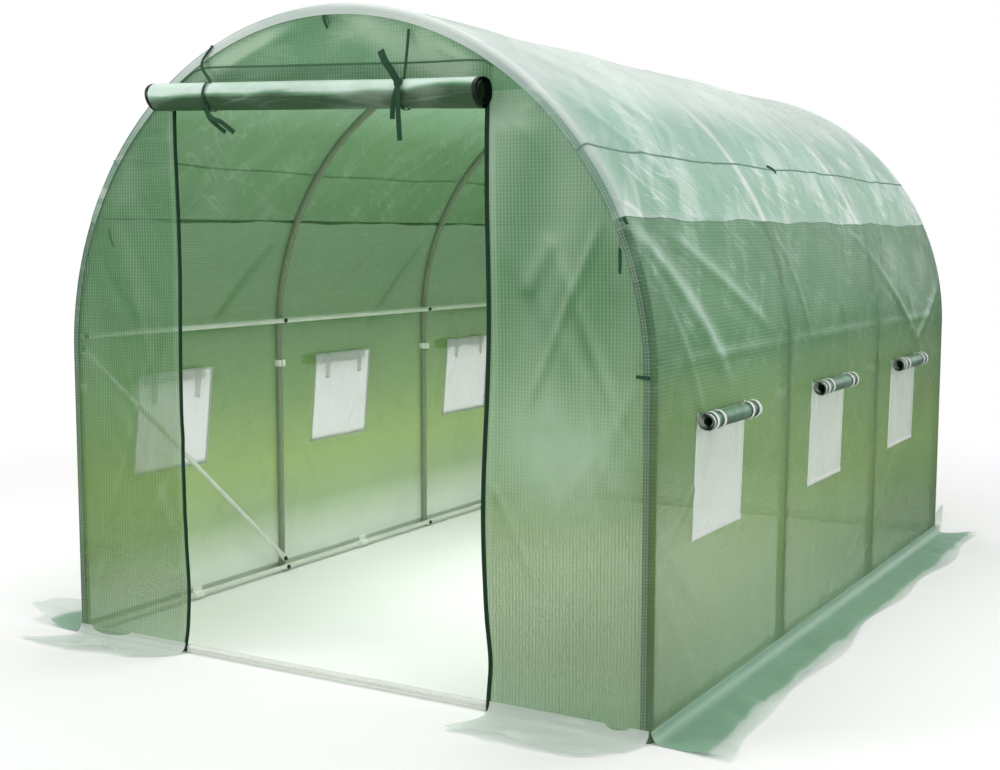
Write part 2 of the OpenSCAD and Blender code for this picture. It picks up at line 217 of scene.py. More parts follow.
def handling_marks():
    """Group: coarse and fine noise as a tone, scuffs where a ridged noise peaks, soil near the ground."""
    tree, start, end = new_group("handling_marks", ["Place"], ["Grain", "Soil Reach"],
                                 ["Tone", "Scuffs", "Soil", "Height"])
    place = start.outputs["Place"]
    coarse = put(tree, "ShaderNodeTexNoise",
                 {"Vector": place, "Scale": 9.0, "Detail": 4.0}).outputs["Fac"]
    fine = put(tree, "ShaderNodeTexNoise",
               {"Vector": place, "Scale": start.outputs["Grain"], "Detail": 5.0,
                "Roughness": 0.65}).outputs["Fac"]
    tone = calc(tree, "MULTIPLY_ADD", coarse, 0.22, calc(tree, "MULTIPLY_ADD", fine, 0.16, 0.81))
    ridged = put(tree, "ShaderNodeTexNoise", {"Vector": place, "Scale": 34.0, "Detail": 6.0},
                 noise_type="RIDGED_MULTIFRACTAL", normalize=True).outputs["Fac"]
    scuffs = calc(tree, "MULTIPLY", rise(tree, ridged, 0.62, 0.86), rise(tree, coarse, 0.42, 0.62))
    height = put(tree, "ShaderNodeSeparateXYZ", {0: place}).outputs["Z"]
    low = calc(tree, "SUBTRACT", 1.0, calc(tree, "DIVIDE", height, start.outputs["Soil Reach"]))
    soil = calc(tree, "MULTIPLY", calc(tree, "MAXIMUM", low, 0.0), rise(tree, fine, 0.35, 0.7))
    for name, value in (("Tone", tone), ("Scuffs", scuffs), ("Soil", soil), ("Height", fine)):
        tree.links.new(value, end.inputs[name])
    return tree


def new_material(name):
    """A material with an empty tree, its output node and its Object coordinates."""
    material = bpy.data.materials.new(name)
    material.use_nodes = True
    tree = material.node_tree
    tree.nodes.clear()
    output = tree.nodes.new("ShaderNodeOutputMaterial")
    return material, tree, output, put(tree, "ShaderNodeTexCoord")


def surface_end(tree, output, surface, relief, glow=0.0, glow_colour=None):
    """The end of a material: its surface with a relief, given as strength, distance and height, and
    for a thin sheet the light that comes through it, mixed in by glow."""
    bump = put(tree, "ShaderNodeBump", dict(zip(("Strength", "Distance", "Height"), relief))).outputs[0]
    shader = put(tree, "ShaderNodeBsdfPrincipled", {**surface, "Normal": bump})
    if glow:
        through = put(tree, "ShaderNodeBsdfTranslucent", {"Color": glow_colour, "Normal": bump})
        shader = put(tree, "ShaderNodeMixShader", {0: glow, 1: shader.outputs[0], 2: through.outputs[0]})
    tree.links.new(shader.outputs[0], output.inputs["Surface"])


marks_group = handling_marks()


def handled_finish(name, colour, scuff_colour, grain, roughness):
    """A hard finish, such as coated steel or moulded plastic: its colour times the tone, with scuffs
    and soil mixed in, and duller where it is scuffed."""
    material, tree, output, place = new_material(name)
    marks = use_group(tree, marks_group,
                      {"Place": place.outputs["Object"], "Grain": grain, "Soil Reach": soil_reach})
    toned = tint(tree, 1.0, paint(*colour), marks["Tone"], "MULTIPLY")
    scuffed = tint(tree, calc(tree, "MULTIPLY", marks["Scuffs"], 0.6), toned, paint(*scuff_colour))
    soiled = tint(tree, calc(tree, "MULTIPLY", marks["Soil"], 0.2), scuffed, paint(*soil_colour))
    rough = calc(tree, "MULTIPLY_ADD", marks["Scuffs"], 0.25, roughness)
    surface_end(tree, output, {"Base Color": soiled, "Roughness": rough}, (0.25, 0.0006, marks["Height"]))
    return material


def dress(material, *names):
    """Gives frame pieces their finish."""
    for name in names:
        for place in cad_nodes[name].material_slots:
            place.material = material


hoop_steel = handled_finish("hoop_tube", hoop_colour, hoop_scuff_colour, 130.0, 0.4)
# The rails and braces take a paler copy of the hoops' finish: a painted highlight.
lit_rail_steel = handled_finish("lit_rail_tube", lit_rail_colour, lit_rail_scuff_colour, 130.0, 0.32)
hoop_names = ("front", "second", "third", "back")
dress(hoop_steel, *[f"{hoop}_{side}_leg" for hoop in hoop_names for side in ("left", "right")])
dress(hoop_steel, *[f"{hoop}_bow" for hoop in hoop_names])
dress(lit_rail_steel, "ridge_rail",
      *[f"{side}_{kind}_rail" for side in ("left", "right") for kind in ("side", "ground")])
dress(lit_rail_steel, "front_ground_rail", "back_ground_rail", "front_left_brace", "back_right_brace")


# Joint collars and rail clips: white moulded plastic, a little chalky from the sun.
# The collars clamp each leg to its bow, and the clips snap over the ground rails.
white_plastic = handled_finish("white_plastic", (242, 245, 240), (206, 212, 204), 60.0, 0.46)
dress(white_plastic, "joint_collars", "rail_clips")


# Frame bolts: blackened hexagon heads on round washers, with the nut end hidden in the tube.
# One holds each rail to each hoop, and one each flattened brace end to its leg.
washer_r = 0.0088
washer_t = 0.0016
head_flat_r = 0.0062
head_t = 0.0052
bolt_sides = 24
rail_face_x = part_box("right_side_rail")[0].x
rail_z = sum(corner.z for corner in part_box("right_side_rail")) / 2
ground_face_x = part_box("right_ground_rail")[0].x
ground_z = sum(corner.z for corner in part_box("right_ground_rail")) / 2
ridge_face_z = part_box("ridge_rail")[0].z
brace_low, brace_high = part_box("back_right_brace")
brace_flat_t = 0.005
brace_flat_r = 0.011
brace_face_x = brace_high.x - brace_flat_t
hoop_ys = [sum(corner.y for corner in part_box(f"{hoop}_right_leg")) / 2 for hoop in hoop_names]


def joined(*parts):
    """Values spread over one grid and set side by side, as the coordinates of its points."""
    return np.stack(np.broadcast_arrays(*parts), axis=-1)


def patch(points, uv=None, keep=None, ring=False, flip=False, shade=0.0):
    """A grid of points as quads. The columns close on themselves with ring, keep drops quads, and
    shade is a value of each point that its finish can read."""
    rows, columns = points.shape[:2]
    index = np.arange(rows * columns).reshape(rows, columns)
    if ring:
        index = np.concatenate([index, index[:, :1]], axis=1)
    quads = np.stack([index[:-1, :-1], index[:-1, 1:], index[1:, 1:], index[1:, :-1]], axis=-1)
    quads = quads[keep] if keep is not None else quads.reshape(-1, 4)
    if uv is None:
        uv = joined(np.arange(columns) / columns, (np.arange(rows) / rows)[:, None])
    shade = np.broadcast_to(shade, (rows, columns)).ravel()
    used, quads = np.unique(quads, return_inverse=True)
    quads = quads.reshape(-1, 4)
    if flip:
        quads = quads[:, ::-1]
    return points.reshape(-1, 3)[used], quads, uv.reshape(-1, 2)[used], shade[used]


def piece(name, patches, material, slot, *stands_for, weld=False):
    """Patches joined to one object at the origin, with UVs in metres, its finish and body. The slot is
    not used.
    """
    starts = np.cumsum([0] + [len(one[0]) for one in patches[:-1]])
    points = np.concatenate([one[0] for one in patches])
    quads = np.concatenate([one[1] + start for one, start in zip(patches, starts)])
    uv = np.concatenate([one[2] for one in patches])
    shade = np.concatenate([one[3] for one in patches])
    mesh = bpy.data.meshes.new(name)
    mesh.from_pydata(points.tolist(), [], quads.tolist())
    if shade.any():
        mesh.attributes.new("shade", "FLOAT", "POINT").data.foreach_set("value", shade.astype(np.float32))
    layer = mesh.uv_layers.new(name="UVMap")
    layer.data.foreach_set("uv", uv[quads.ravel()].astype(np.float32).ravel())
    if weld:
        body = bmesh.new()
        body.from_mesh(mesh)
        bmesh.ops.remove_doubles(body, verts=body.verts, dist=0.00002)
        bmesh.ops.dissolve_degenerate(body, edges=body.edges, dist=0.00001)
        body.to_mesh(mesh)
        body.free()
    mesh.polygons.foreach_set("use_smooth", np.ones(len(mesh.polygons), bool))
    mesh.materials.append(material)
    made = bpy.data.objects.new(name, mesh)
    scene.collection.objects.link(made)
    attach(made, "root")
    if stands_for:
        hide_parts(*stands_for)
    return made


def turned_bolt(seat, axis):
    """A washer and a hexagon head: a profile of radius and height turned about the axis from the seat.
    The head's radius at an angle is its flat's radius over the cosine from the nearest flat."""
    axis = np.array(axis, float)
    across = np.cross(axis, (0.0, 1.0, 0.0)) if abs(axis[1]) < 0.9 else np.array((1.0, 0.0, 0.0))
    angle = np.arange(bolt_sides) * 2 * np.pi / bolt_sides
    around = np.cos(angle)[:, None] * across + np.sin(angle)[:, None] * np.cross(axis, across)
    hexagon = head_flat_r / np.cos((angle + np.pi / 6) % (np.pi / 3) - np.pi / 6)
    washer = np.full(bolt_sides, washer_r)
    rings = [(washer, 0.0), (washer, washer_t), (hexagon, washer_t), (hexagon, washer_t + 0.8 * head_t),
             (hexagon * 0.86, washer_t + head_t), (hexagon * 0.0, washer_t + head_t)]
    points = [np.array(seat) + axis * height + around * radius[:, None] for radius, height in rings]
    return patch(np.stack(points), ring=True)


black_steel = handled_finish("blackened_bolt", (40, 44, 40), (92, 92, 86), 220.0, 0.42)
bolt_patches = []
for hoop_y in hoop_ys:
    bolt_patches.append(turned_bolt((0.0, hoop_y, ridge_face_z), (0, 0, -1)))
    for side in (-1, 1):
        bolt_patches.append(turned_bolt((side * rail_face_x, hoop_y, rail_z), (-side, 0, 0)))
        bolt_patches.append(turned_bolt((side * ground_face_x, hoop_y, ground_z), (-side, 0, 0)))
for side, top_y, foot_y in ((-1, hoop_ys[0], hoop_ys[1]), (1, hoop_ys[3], hoop_ys[2])):
    bolt_patches.append(turned_bolt((side * brace_face_x, top_y, brace_high.z - brace_flat_r),
                                    (-side, 0, 0)))
    bolt_patches.append(turned_bolt((side * brace_face_x, foot_y, brace_low.z + brace_flat_r),
                                    (-side, 0, 0)))
piece("frame_bolts", bolt_patches, black_steel, "tube", weld=True)


# Side sheets: green polyethylene film woven with a grid of threads, cut out for the windows.
# Each runs up its wall to a seam in the arch, hangs a little slack between the hoops, and is
# folded round the end hoops on to the gables, where its hem is stitched down.
wall_h = 0.9
half_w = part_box("right_side_sheet")[1].x
hoop_r = sum(corner.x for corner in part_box("front_right_leg")) / 2
film_t = 0.003
film_out = half_w - film_t / 2 - hoop_r
hem_lift = film_t / 2
gable_hem_w = 0.015
seam_turn = math.radians(24.7)
seam_up = wall_h + hoop_r * seam_turn
seam_lap = 0.010
film_step = 0.0125
window_ys = [-1.055 + 0.96 * i for i in range(3)]
window_w = 0.35
window_low = 0.478
window_high = 0.802
wall_slack = 0.005
roof_slack = 0.007
thread_pitch = 0.0098
stitch_pitch = 0.008
stitch_w = 0.005
stitch_lines = (0.005, 0.0125)


def stepped(breaks, step):
    """Rising values that hit each break, in equal steps of at most step between two breaks."""
    spans = [np.linspace(a, b, math.ceil((b - a) / step), endpoint=False)
             for a, b in zip(breaks, breaks[1:])]
    return np.append(np.concatenate(spans), breaks[-1])


def cover_line(run, lift=0.0):
    """The film's line along the tunnel: in over the gable hem, a quarter bend round the front hoop,
    straight along the run, and the same at the back, all lifted off the first layer by lift. Gives
    y, the distance outside the hoops, and the length along the film."""
    bend = np.linspace(0, np.pi / 2, 7)
    hem = np.linspace(-gable_hem_w, 0, 5, endpoint=False)
    reach = (film_out + hem_lift + lift) * np.cos(bend)
    front = np.concatenate([np.full(len(hem), hoop_ys[0] - reach[0]), hoop_ys[0] - reach])
    back = np.concatenate([np.full(len(hem), hoop_ys[3] + reach[0]), hoop_ys[3] + reach])[::-1]
    edge_out = np.concatenate([hem, (film_out + lift) * np.sin(bend)])
    y = np.concatenate([front, run[1:-1], back])
    out = np.concatenate([edge_out, np.full(len(run) - 2, film_out + lift), edge_out[::-1]])
    steps = np.hypot(np.diff(y), np.diff(out))
    return y, out, np.append(0.0, np.cumsum(steps))


def cover_point(y, out, up):
    """A point of the cover, up along the film from the right foot: straight up the wall, then round
    the arch about its centre, moved out from the hoop line."""
    turn = np.clip((up - wall_h) / hoop_r, 0, np.pi)
    radius = hoop_r + out
    return joined(radius * np.cos(turn), y, np.where(up < wall_h, up, wall_h + radius * np.sin(turn)))


def between_hoops(y):
    """0 on a hoop and 1 in the middle of a bay: a half sine wave over each bay, steep at the hoops."""
    bay = (y - hoop_ys[0]) / (hoop_ys[1] - hoop_ys[0])
    return np.abs(np.sin(np.pi * np.clip(bay, 0, 3))) ** 0.75


def folds_height(along, up, folds):
    """Soft ridges: each fold is a line on the sheet, and its height falls off as a bell curve with
    the distance beside the line and fades out past both ends."""
    total = np.zeros(np.broadcast(along, up).shape)
    for (along_a, up_a), (along_b, up_b), width, height in folds:
        run = math.hypot(along_b - along_a, up_b - up_a)
        t = ((along - along_a) * (along_b - along_a) + (up - up_a) * (up_b - up_a)) / run ** 2
        beside = ((along - along_a) * (up_b - up_a) - (up - up_a) * (along_b - along_a)) / run
        past = np.maximum(np.abs(t - 0.5) - 0.35, 0.0)
        total += height * np.exp(-(beside / width) ** 2 - (past / 0.16) ** 2)
    return total


def scattered_folds(seed, count, along, up, length, slope, width, height):
    """Folds at random places with seeded draws. Each pair of numbers is the range of one draw, and
    slope is the range of the fold's angle to the tunnel in degrees, to either side."""
    draw = np.random.default_rng(seed)
    found = []
    for _ in range(count):
        angle = math.radians(draw.uniform(*slope)) * draw.choice([-1, 1])
        middle = np.array([draw.uniform(*along), draw.uniform(*up)])
        half = np.array([math.cos(angle), math.sin(angle)]) * draw.uniform(*length) / 2
        found.append((middle - half, middle + half, draw.uniform(*width), draw.uniform(*height)))
    return found


def cover_out(y, out, up, folds):
    """How far the film stands outside the hoop line: its own distance less the slack between hoops,
    which is slight on the walls and grows over the shoulders, plus its folds, which die out at the
    seams. Nothing is pressed into a hoop, and all of it is gone on the rims."""
    free = np.clip(np.minimum(y - hoop_ys[0], hoop_ys[3] - y) / 0.03, 0, 1)
    away = between_hoops(y)
    from_foot = np.minimum(up, 2 * wall_h + np.pi * hoop_r - up)
    shoulder = np.clip((from_foot - seam_up + 0.25) / 0.6, 0, 1)
    slack = wall_slack + (roof_slack - wall_slack) * shoulder ** 2 * (3 - 2 * shoulder)
    from_seam = np.clip((np.abs(from_foot - seam_up - seam_lap / 2) - 0.018) / 0.05, 0, 1)
    raised = folds_height(y, up, folds) * from_seam
    loose = np.maximum(raised, 0) * (0.35 + 0.65 * away) + np.minimum(raised, 0) * away
    return out + free * (loose - slack * away * np.clip(from_foot / 0.3, 0.1, 1))


def lit_shade(out, up, gain):
    """A fold's flank is paler where it faces up and darker where it faces down, by its slope up the
    sheet."""
    slope = np.gradient(out, axis=0) / np.gradient(np.broadcast_to(up, out.shape), axis=0)
    return np.clip(slope * gain, -0.7, 0.4)


def tube_shade(y, width, depth):
    """Painted shade where the film lies over a hoop, turned into a painted highlight by a depth below
    zero: a bell curve across each hoop.
    """
    return sum(amount * np.exp(-((y - hoop_y) / width) ** 2) for hoop_y, amount in zip(hoop_ys, depth))


def rim_shade(out, depth):
    """The doubled film of the stitched hem reads darker: full on the gable, gone a little up the bend."""
    return depth * np.clip(1 - (out - 0.001) / 0.005, 0, 1)


def grid_weave():
    """Group: a grid of threads over UVs in metres. Each thread is where the distance to the nearest
    grid line is under its half width. Across and Along weigh the two sets of threads."""
    tree, start, end = new_group("grid_weave", ["UV"], ["Pitch", "Width", "Across", "Along"],
                                 ["Threads", "Height"])
    split = put(tree, "ShaderNodeSeparateXYZ", {0: start.outputs["UV"]})
    edge = calc(tree, "SUBTRACT", 1.0, start.outputs["Width"])
    threads = []
    for axis, weight in (("X", "Across"), ("Y", "Along")):
        share = calc(tree, "FRACT", calc(tree, "DIVIDE", split.outputs[axis], start.outputs["Pitch"]))
        near = calc(tree, "ABSOLUTE", calc(tree, "MULTIPLY_ADD", share, 2.0, -1.0))
        thread = rise(tree, near, calc(tree, "SUBTRACT", edge, 0.16), calc(tree, "ADD", edge, 0.16))
        threads.append(calc(tree, "MULTIPLY", thread, start.outputs[weight]))
    tree.links.new(calc(tree, "MAXIMUM", *threads), end.inputs["Threads"])
    tree.links.new(calc(tree, "ADD", *threads), end.inputs["Height"])
    return tree


def painted_film_sheen():
    """Group: a painted sheen, slanting streaks of reflected sky: noise drawn out along a slope, full
    above High and faint below Low. Its painted highlights along thin creases lie where a second noise,
    drawn out along a line that falls towards the back, passes its middle."""
    tree, start, end = new_group("painted_film_sheen", ["Place"], ["Low", "High"], ["Haze", "Crease Glints"])
    slant = put(tree, "ShaderNodeMapping", {"Vector": start.outputs["Place"], "Rotation": (0.9, 0.0, 0.0),
                                            "Scale": (0.5, 0.55, 0.16)}, vector_type="TEXTURE").outputs[0]
    streaks = put(tree, "ShaderNodeTexNoise",
                  {"Vector": slant, "Scale": 1.5, "Detail": 3.0, "Roughness": 0.62,
                   "Distortion": 0.4}).outputs["Fac"]
    height = put(tree, "ShaderNodeSeparateXYZ", {0: start.outputs["Place"]}).outputs["Z"]
    up = rise(tree, height, start.outputs["Low"], start.outputs["High"])
    weight = calc(tree, "MULTIPLY_ADD", up, 0.8, 0.2)
    fallen = put(tree, "ShaderNodeMapping",
                 {"Vector": start.outputs["Place"], "Rotation": (-0.5, 0.0, 0.0),
                  "Scale": (0.9, 0.8, 0.12)}, vector_type="TEXTURE").outputs[0]
    wander = put(tree, "ShaderNodeTexNoise",
                 {"Vector": fallen, "Scale": 2.4, "Detail": 1.0, "Distortion": 0.2}).outputs["Fac"]
    off_line = calc(tree, "ABSOLUTE", calc(tree, "SUBTRACT", wander, 0.5))
    thin = calc(tree, "MULTIPLY", rise(tree, off_line, 0.03, 0.004), rise(tree, streaks, 0.36, 0.6))
    tree.links.new(calc(tree, "MULTIPLY", thin, weight), end.inputs["Crease Glints"])
    tree.links.new(calc(tree, "MULTIPLY", rise(tree, streaks, 0.46, 0.7), weight), end.inputs["Haze"])
    return tree


def film_crinkle():
    """Group: ridged noise for the fine creases of handled film and soft noise for its cloudy tone."""
    tree, start, end = new_group("film_crinkle", ["Place"], ["Scale"], ["Height", "Cloud"])
    place, scale = start.outputs["Place"], start.outputs["Scale"]
    creases = put(tree, "ShaderNodeTexNoise",
                  {"Vector": place, "Scale": scale, "Detail": 1.0},
                  noise_type="RIDGED_MULTIFRACTAL", normalize=True).outputs["Fac"]
    pillows = put(tree, "ShaderNodeTexNoise",
                  {"Vector": place, "Scale": calc(tree, "MULTIPLY", scale, 2.2),
                   "Detail": 1.0}).outputs["Fac"]
    cloud = put(tree, "ShaderNodeTexNoise",
                {"Vector": place, "Scale": calc(tree, "MULTIPLY", scale, 0.45),
                 "Detail": 3.0}).outputs["Fac"]
    tree.links.new(calc(tree, "MULTIPLY_ADD", creases, 0.8, pillows), end.inputs["Height"])
    tree.links.new(cloud, end.inputs["Cloud"])
    return tree


def stitch_row():
    """Group: a row of stitches along one UV direction: dashes of a pitch within a width of a line."""
    tree, start, end = new_group("stitch_row", [], ["Along", "Across", "Line", "Pitch", "Width"],
                                 ["Stitches"])
    off = calc(tree, "ABSOLUTE", calc(tree, "SUBTRACT", start.outputs["Across"], start.outputs["Line"]))
    near = calc(tree, "SUBTRACT", 1.0,
                rise(tree, calc(tree, "DIVIDE", off, start.outputs["Width"]), 0.35, 0.6))
    share = calc(tree, "FRACT", calc(tree, "DIVIDE", start.outputs["Along"], start.outputs["Pitch"]))
    dash = rise(tree, calc(tree, "ABSOLUTE", calc(tree, "SUBTRACT", share, 0.5)), 0.44, 0.34)
    tree.links.new(calc(tree, "MULTIPLY", near, dash), end.inputs["Stitches"])
    return tree


weave_group = grid_weave()
crinkle_group = film_crinkle()
stitch_group = stitch_row()
sheen_paint_group = painted_film_sheen()


def tone_ramp(tree, height, tones):
    """A colour that runs through tones by height, each a share of the ridge height and a colour."""
    ramp = put(tree, "ShaderNodeValToRGB", {"Fac": height})
    stops = ramp.color_ramp.elements
    while len(stops) < len(tones):
        stops.new(1.0)
    for stop, (share, colour) in zip(stops, tones):
        stop.position = share
        stop.color = paint(*colour)
    return ramp.outputs["Color"]


def woven_film(name, outer, inner, look, rows=(), stitch_colour=(206, 222, 208)):
    """Film with a thread grid, with one run of tones outside and one inside. The look gives its threads'
    weights, width and colour, body (how opaque it is between threads), glow (the share of light that
    comes through), roughness, a painted sheen with its share and two heights, the strength of painted
    highlights along thin creases, the pale colour of painted highlights and sheens, the dark colour
    that positive shade leads to (painted shade, and doubled hems), and the place and colour of a band
    at both ends, if any: a taped edge on the flaps, painted shade on the door. Rows are its lines of
    stitches, as the UV axis that they cross and the place there."""
    material, tree, output, place = new_material(name)
    height = put(tree, "ShaderNodeSeparateXYZ", {0: place.outputs["Object"]}).outputs["Z"]
    height = calc(tree, "DIVIDE", height, cad_high.z)
    outside = tone_ramp(tree, height, outer)
    behind = put(tree, "ShaderNodeNewGeometry").outputs["Backfacing"]
    base = tint(tree, behind, outside, tone_ramp(tree, height, inner))
    across, along, width = look["threads"]
    weave = use_group(tree, weave_group,
                      {"UV": place.outputs["UV"], "Pitch": thread_pitch, "Width": width, "Across": across,
                       "Along": along})
    crinkle = use_group(tree, crinkle_group, {"Place": place.outputs["Object"], "Scale": 5.5})
    painted_sheen_share, sheen_low, sheen_high = look["painted_sheen"]
    painted_sheen = use_group(tree, sheen_paint_group,
                     {"Place": place.outputs["Object"], "Low": sheen_low, "High": sheen_high})
    shade = put(tree, "ShaderNodeAttribute", attribute_name="shade").outputs["Fac"]
    cloud = calc(tree, "MULTIPLY_ADD", crinkle["Cloud"], 0.5, 0.75)
    clouded = tint(tree, 1.0, base, cloud, "MULTIPLY")
    # Positive shade darkens: painted shade of folds, hoops and undersides, and the doubled hems.
    shade_darkened = tint(tree, calc(tree, "MAXIMUM", shade, 0.0), clouded, paint(*look["dark"]))
    # Painted light: negative shade, the painted sheen and the painted crease highlights pale it, outside
    # only.
    lit_share = calc(tree, "MAXIMUM", calc(tree, "MULTIPLY", shade, -1.0), 0.0)
    painted_light_mix = calc(tree, "MULTIPLY_ADD", painted_sheen["Haze"], painted_sheen_share, lit_share)
    painted_light_mix = calc(tree, "MULTIPLY_ADD", painted_sheen["Crease Glints"], look["creases"], painted_light_mix)
    painted_light_mix = calc(tree, "MULTIPLY", painted_light_mix, calc(tree, "SUBTRACT", 1.0, calc(tree, "MULTIPLY", behind, 0.7)))
    colour = tint(tree, painted_light_mix, shade_darkened, paint(*look["pale"]))
    # The threads show paler in the painted sheen: a painted glint on their relief.
    seen_threads = calc(tree, "MULTIPLY", weave["Threads"], calc(tree, "MULTIPLY_ADD", painted_light_mix, 1.2, 0.55))
    seen_threads = calc(tree, "MULTIPLY", seen_threads,
                        calc(tree, "MULTIPLY_ADD", crinkle["Cloud"], 1.4, 0.3))
    colour = tint(tree, seen_threads, colour, paint(*look["thread"]))
    uv = put(tree, "ShaderNodeSeparateXYZ", {0: place.outputs["UV"]})
    for axis, line in rows:
        row = use_group(tree, stitch_group,
                        {"Along": uv.outputs["Y" if axis == "X" else "X"], "Across": uv.outputs[axis],
                         "Line": line, "Pitch": stitch_pitch, "Width": stitch_w})
        colour = tint(tree, calc(tree, "MULTIPLY", row["Stitches"], 0.55), colour, paint(*stitch_colour))
    if "edge" in look:
        rim = calc(tree, "ABSOLUTE", uv.outputs["X"])
        edge_at, edge_colour = look["edge"]
        colour = tint(tree, rise(tree, rim, edge_at - 0.0005, edge_at + 0.0005), colour,
                      paint(*edge_colour))
    body = calc(tree, "MULTIPLY_ADD", weave["Threads"], 0.5, look["body"])
    body = calc(tree, "MULTIPLY_ADD", painted_light_mix, 0.3, body)
    body = calc(tree, "MULTIPLY_ADD", behind, 0.2, body)
    body = calc(tree, "MULTIPLY_ADD", calc(tree, "MAXIMUM", shade, 0.0), 0.3, body)
    body = calc(tree, "MINIMUM", body, 1.0)
    rough = calc(tree, "MULTIPLY_ADD", crinkle["Cloud"], 0.25, look["roughness"])
    relief = calc(tree, "MULTIPLY_ADD", weave["Height"], 0.22, crinkle["Height"])
    surface = {"Base Color": colour, "Roughness": rough, "Specular IOR Level": 0.3, "Alpha": body}
    surface_end(tree, output, surface, (0.6, 0.007, relief), look["glow"], base)
    return material


wall_tones = [(0.0, (104, 140, 104)), (0.1, (108, 138, 92)), (0.24, (128, 156, 96)),
              (0.44, (122, 154, 108)), (0.52, (102, 150, 110)), (0.7, (98, 148, 112))]
# Inside, the film is painted pale near the foot: painted light from the bright ground outside.
inner_tones = [(0.0, (236, 242, 234)), (0.05, (206, 220, 200)), (0.13, (150, 178, 124)),
               (0.22, (148, 178, 104)), (0.34, (122, 156, 92)), (0.48, (94, 134, 82)),
               (0.62, (84, 126, 80)), (0.75, (86, 128, 84))]
wall_look = {"threads": (0.08, 0.34, 0.17), "body": 0.66, "glow": 0.42, "roughness": 0.16,
             "painted_sheen": (0.26, 0.86, 1.02), "creases": 0.3, "pale": (186, 214, 198), "dark": (58, 100, 68),
             "thread": (196, 222, 200)}
cover_length = cover_line(np.array([hoop_ys[0], 0.0, hoop_ys[3]]))[2][-1]
cover_rows = [("X", line) for line in stitch_lines]
cover_rows += [("X", cover_length - line) for line in stitch_lines]
side_film = woven_film("side_film", wall_tones, inner_tones, wall_look, cover_rows)
side_folds = {
    "right": [((-1.47, 1.30), (-1.02, 0.90), 0.030, 0.009), ((-1.45, 1.20), (-1.17, 0.78), 0.022, 0.006),
              ((-1.23, 1.27), (-0.66, 1.00), 0.022, 0.005), ((0.34, 1.31), (1.07, 0.86), 0.020, 0.007),
              ((1.45, 1.06), (1.07, 0.86), 0.022, 0.007), ((-0.45, 1.30), (-0.28, 0.95), 0.018, 0.005)],
    "left": [((-1.46, 1.28), (-1.10, 0.92), 0.028, 0.007), ((-0.56, 1.28), (-0.85, 0.98), 0.022, 0.005),
             ((0.42, 1.26), (0.10, 0.93), 0.022, 0.006), ((1.44, 1.22), (1.12, 0.86), 0.024, 0.006)],
}
wall_sheens = {
    "right": [((-1.48, 1.32), (-1.00, 0.90), 0.040, 0.55), ((-1.20, 1.28), (-0.70, 1.00), 0.050, 0.30),
              ((-0.50, 1.30), (-0.60, 1.00), 0.060, 0.12), ((0.80, 1.24), (1.10, 0.95), 0.100, 0.36),
              ((1.25, 1.22), (1.16, 0.96), 0.090, 0.36), ((0.05, 1.26), (0.22, 1.02), 0.070, 0.10)],
    "left": [((-1.40, 1.28), (-1.05, 0.95), 0.050, 0.35), ((0.30, 1.26), (0.05, 0.98), 0.080, 0.30),
             ((1.30, 1.22), (1.05, 0.95), 0.080, 0.30)],
}
sides = {"right": 1, "left": -1}
wall_seeds = {"right": 11, "left": 12}
rail_crease = ((-1.45, rail_z - 0.004), (1.45, rail_z - 0.008), 0.012, 0.0032)
side_run = stepped([hoop_ys[0], *[y + half for y in window_ys for half in (-window_w / 2, window_w / 2)],
                    hoop_ys[3]], film_step)
side_ups = stepped([0.0, window_low, window_high, wall_h, seam_up + seam_lap], film_step)
side_y, side_out, side_length = cover_line(side_run)
mid_y = (side_y[1:] + side_y[:-1]) / 2
mid_up = (side_ups[1:] + side_ups[:-1]) / 2
in_window_y = np.any([np.abs(mid_y - y) < window_w / 2 for y in window_ys], axis=0)
in_window_up = (mid_up > window_low) & (mid_up < window_high)
side_keep = ~(in_window_up[:, None] & in_window_y[None, :])
wall_folds = {}
window_lean = {"right": 0.07, "left": 0.125}


def leaned(y, up, side_name):
    """Where a point of a wall lies along the tunnel: the film hangs askew about the middle of its
    windows, by a share of the height, and straight again at its foot, at the rail and at both ends."""
    held = np.clip(np.minimum(y - hoop_ys[0], hoop_ys[3] - y) / 0.2, 0, 1) * np.clip(up / 0.35, 0, 1)
    held = held * np.clip((rail_z - up) / 0.15, 0, 1)
    return y + window_lean[side_name] * (up - (window_low + window_high) / 2) * held


for side_name, side in sides.items():
    wall_folds[side_name] = side_folds[side_name] + [rail_crease] + scattered_folds(
        wall_seeds[side_name], 34, (-1.4, 1.4), (0.05, 1.3), (0.12, 0.5), (35, 85), (0.010, 0.024),
        (-0.0015, 0.0035))
    hung_y = leaned(side_y, side_ups[:, None], side_name)
    stands_out = cover_out(hung_y, side_out, side_ups[:, None], wall_folds[side_name])
    side_points = cover_point(hung_y, stands_out, side_ups[:, None]) * (side, 1, 1)
    side_shade = lit_shade(stands_out, side_ups[:, None], 2.6)
    # Painted shade over the hoops behind the film, painted sheens along the sheen lines, and the darker
    # doubled hem.
    side_shade += tube_shade(hung_y, 0.017, (0.12, 0.25, 0.25, 0.12))
    sheen = folds_height(hung_y, side_ups[:, None], wall_sheens[side_name])
    side_shade += rim_shade(side_out, 0.6) - sheen
    side_uv = joined(side_length, side_ups[:, None])
    side_sheet = piece(f"{side_name}_wall_film",
                       [patch(side_points, side_uv, side_keep, flip=side < 0, shade=side_shade)],
                       side_film, "side_film", f"{side_name}_side_sheet")


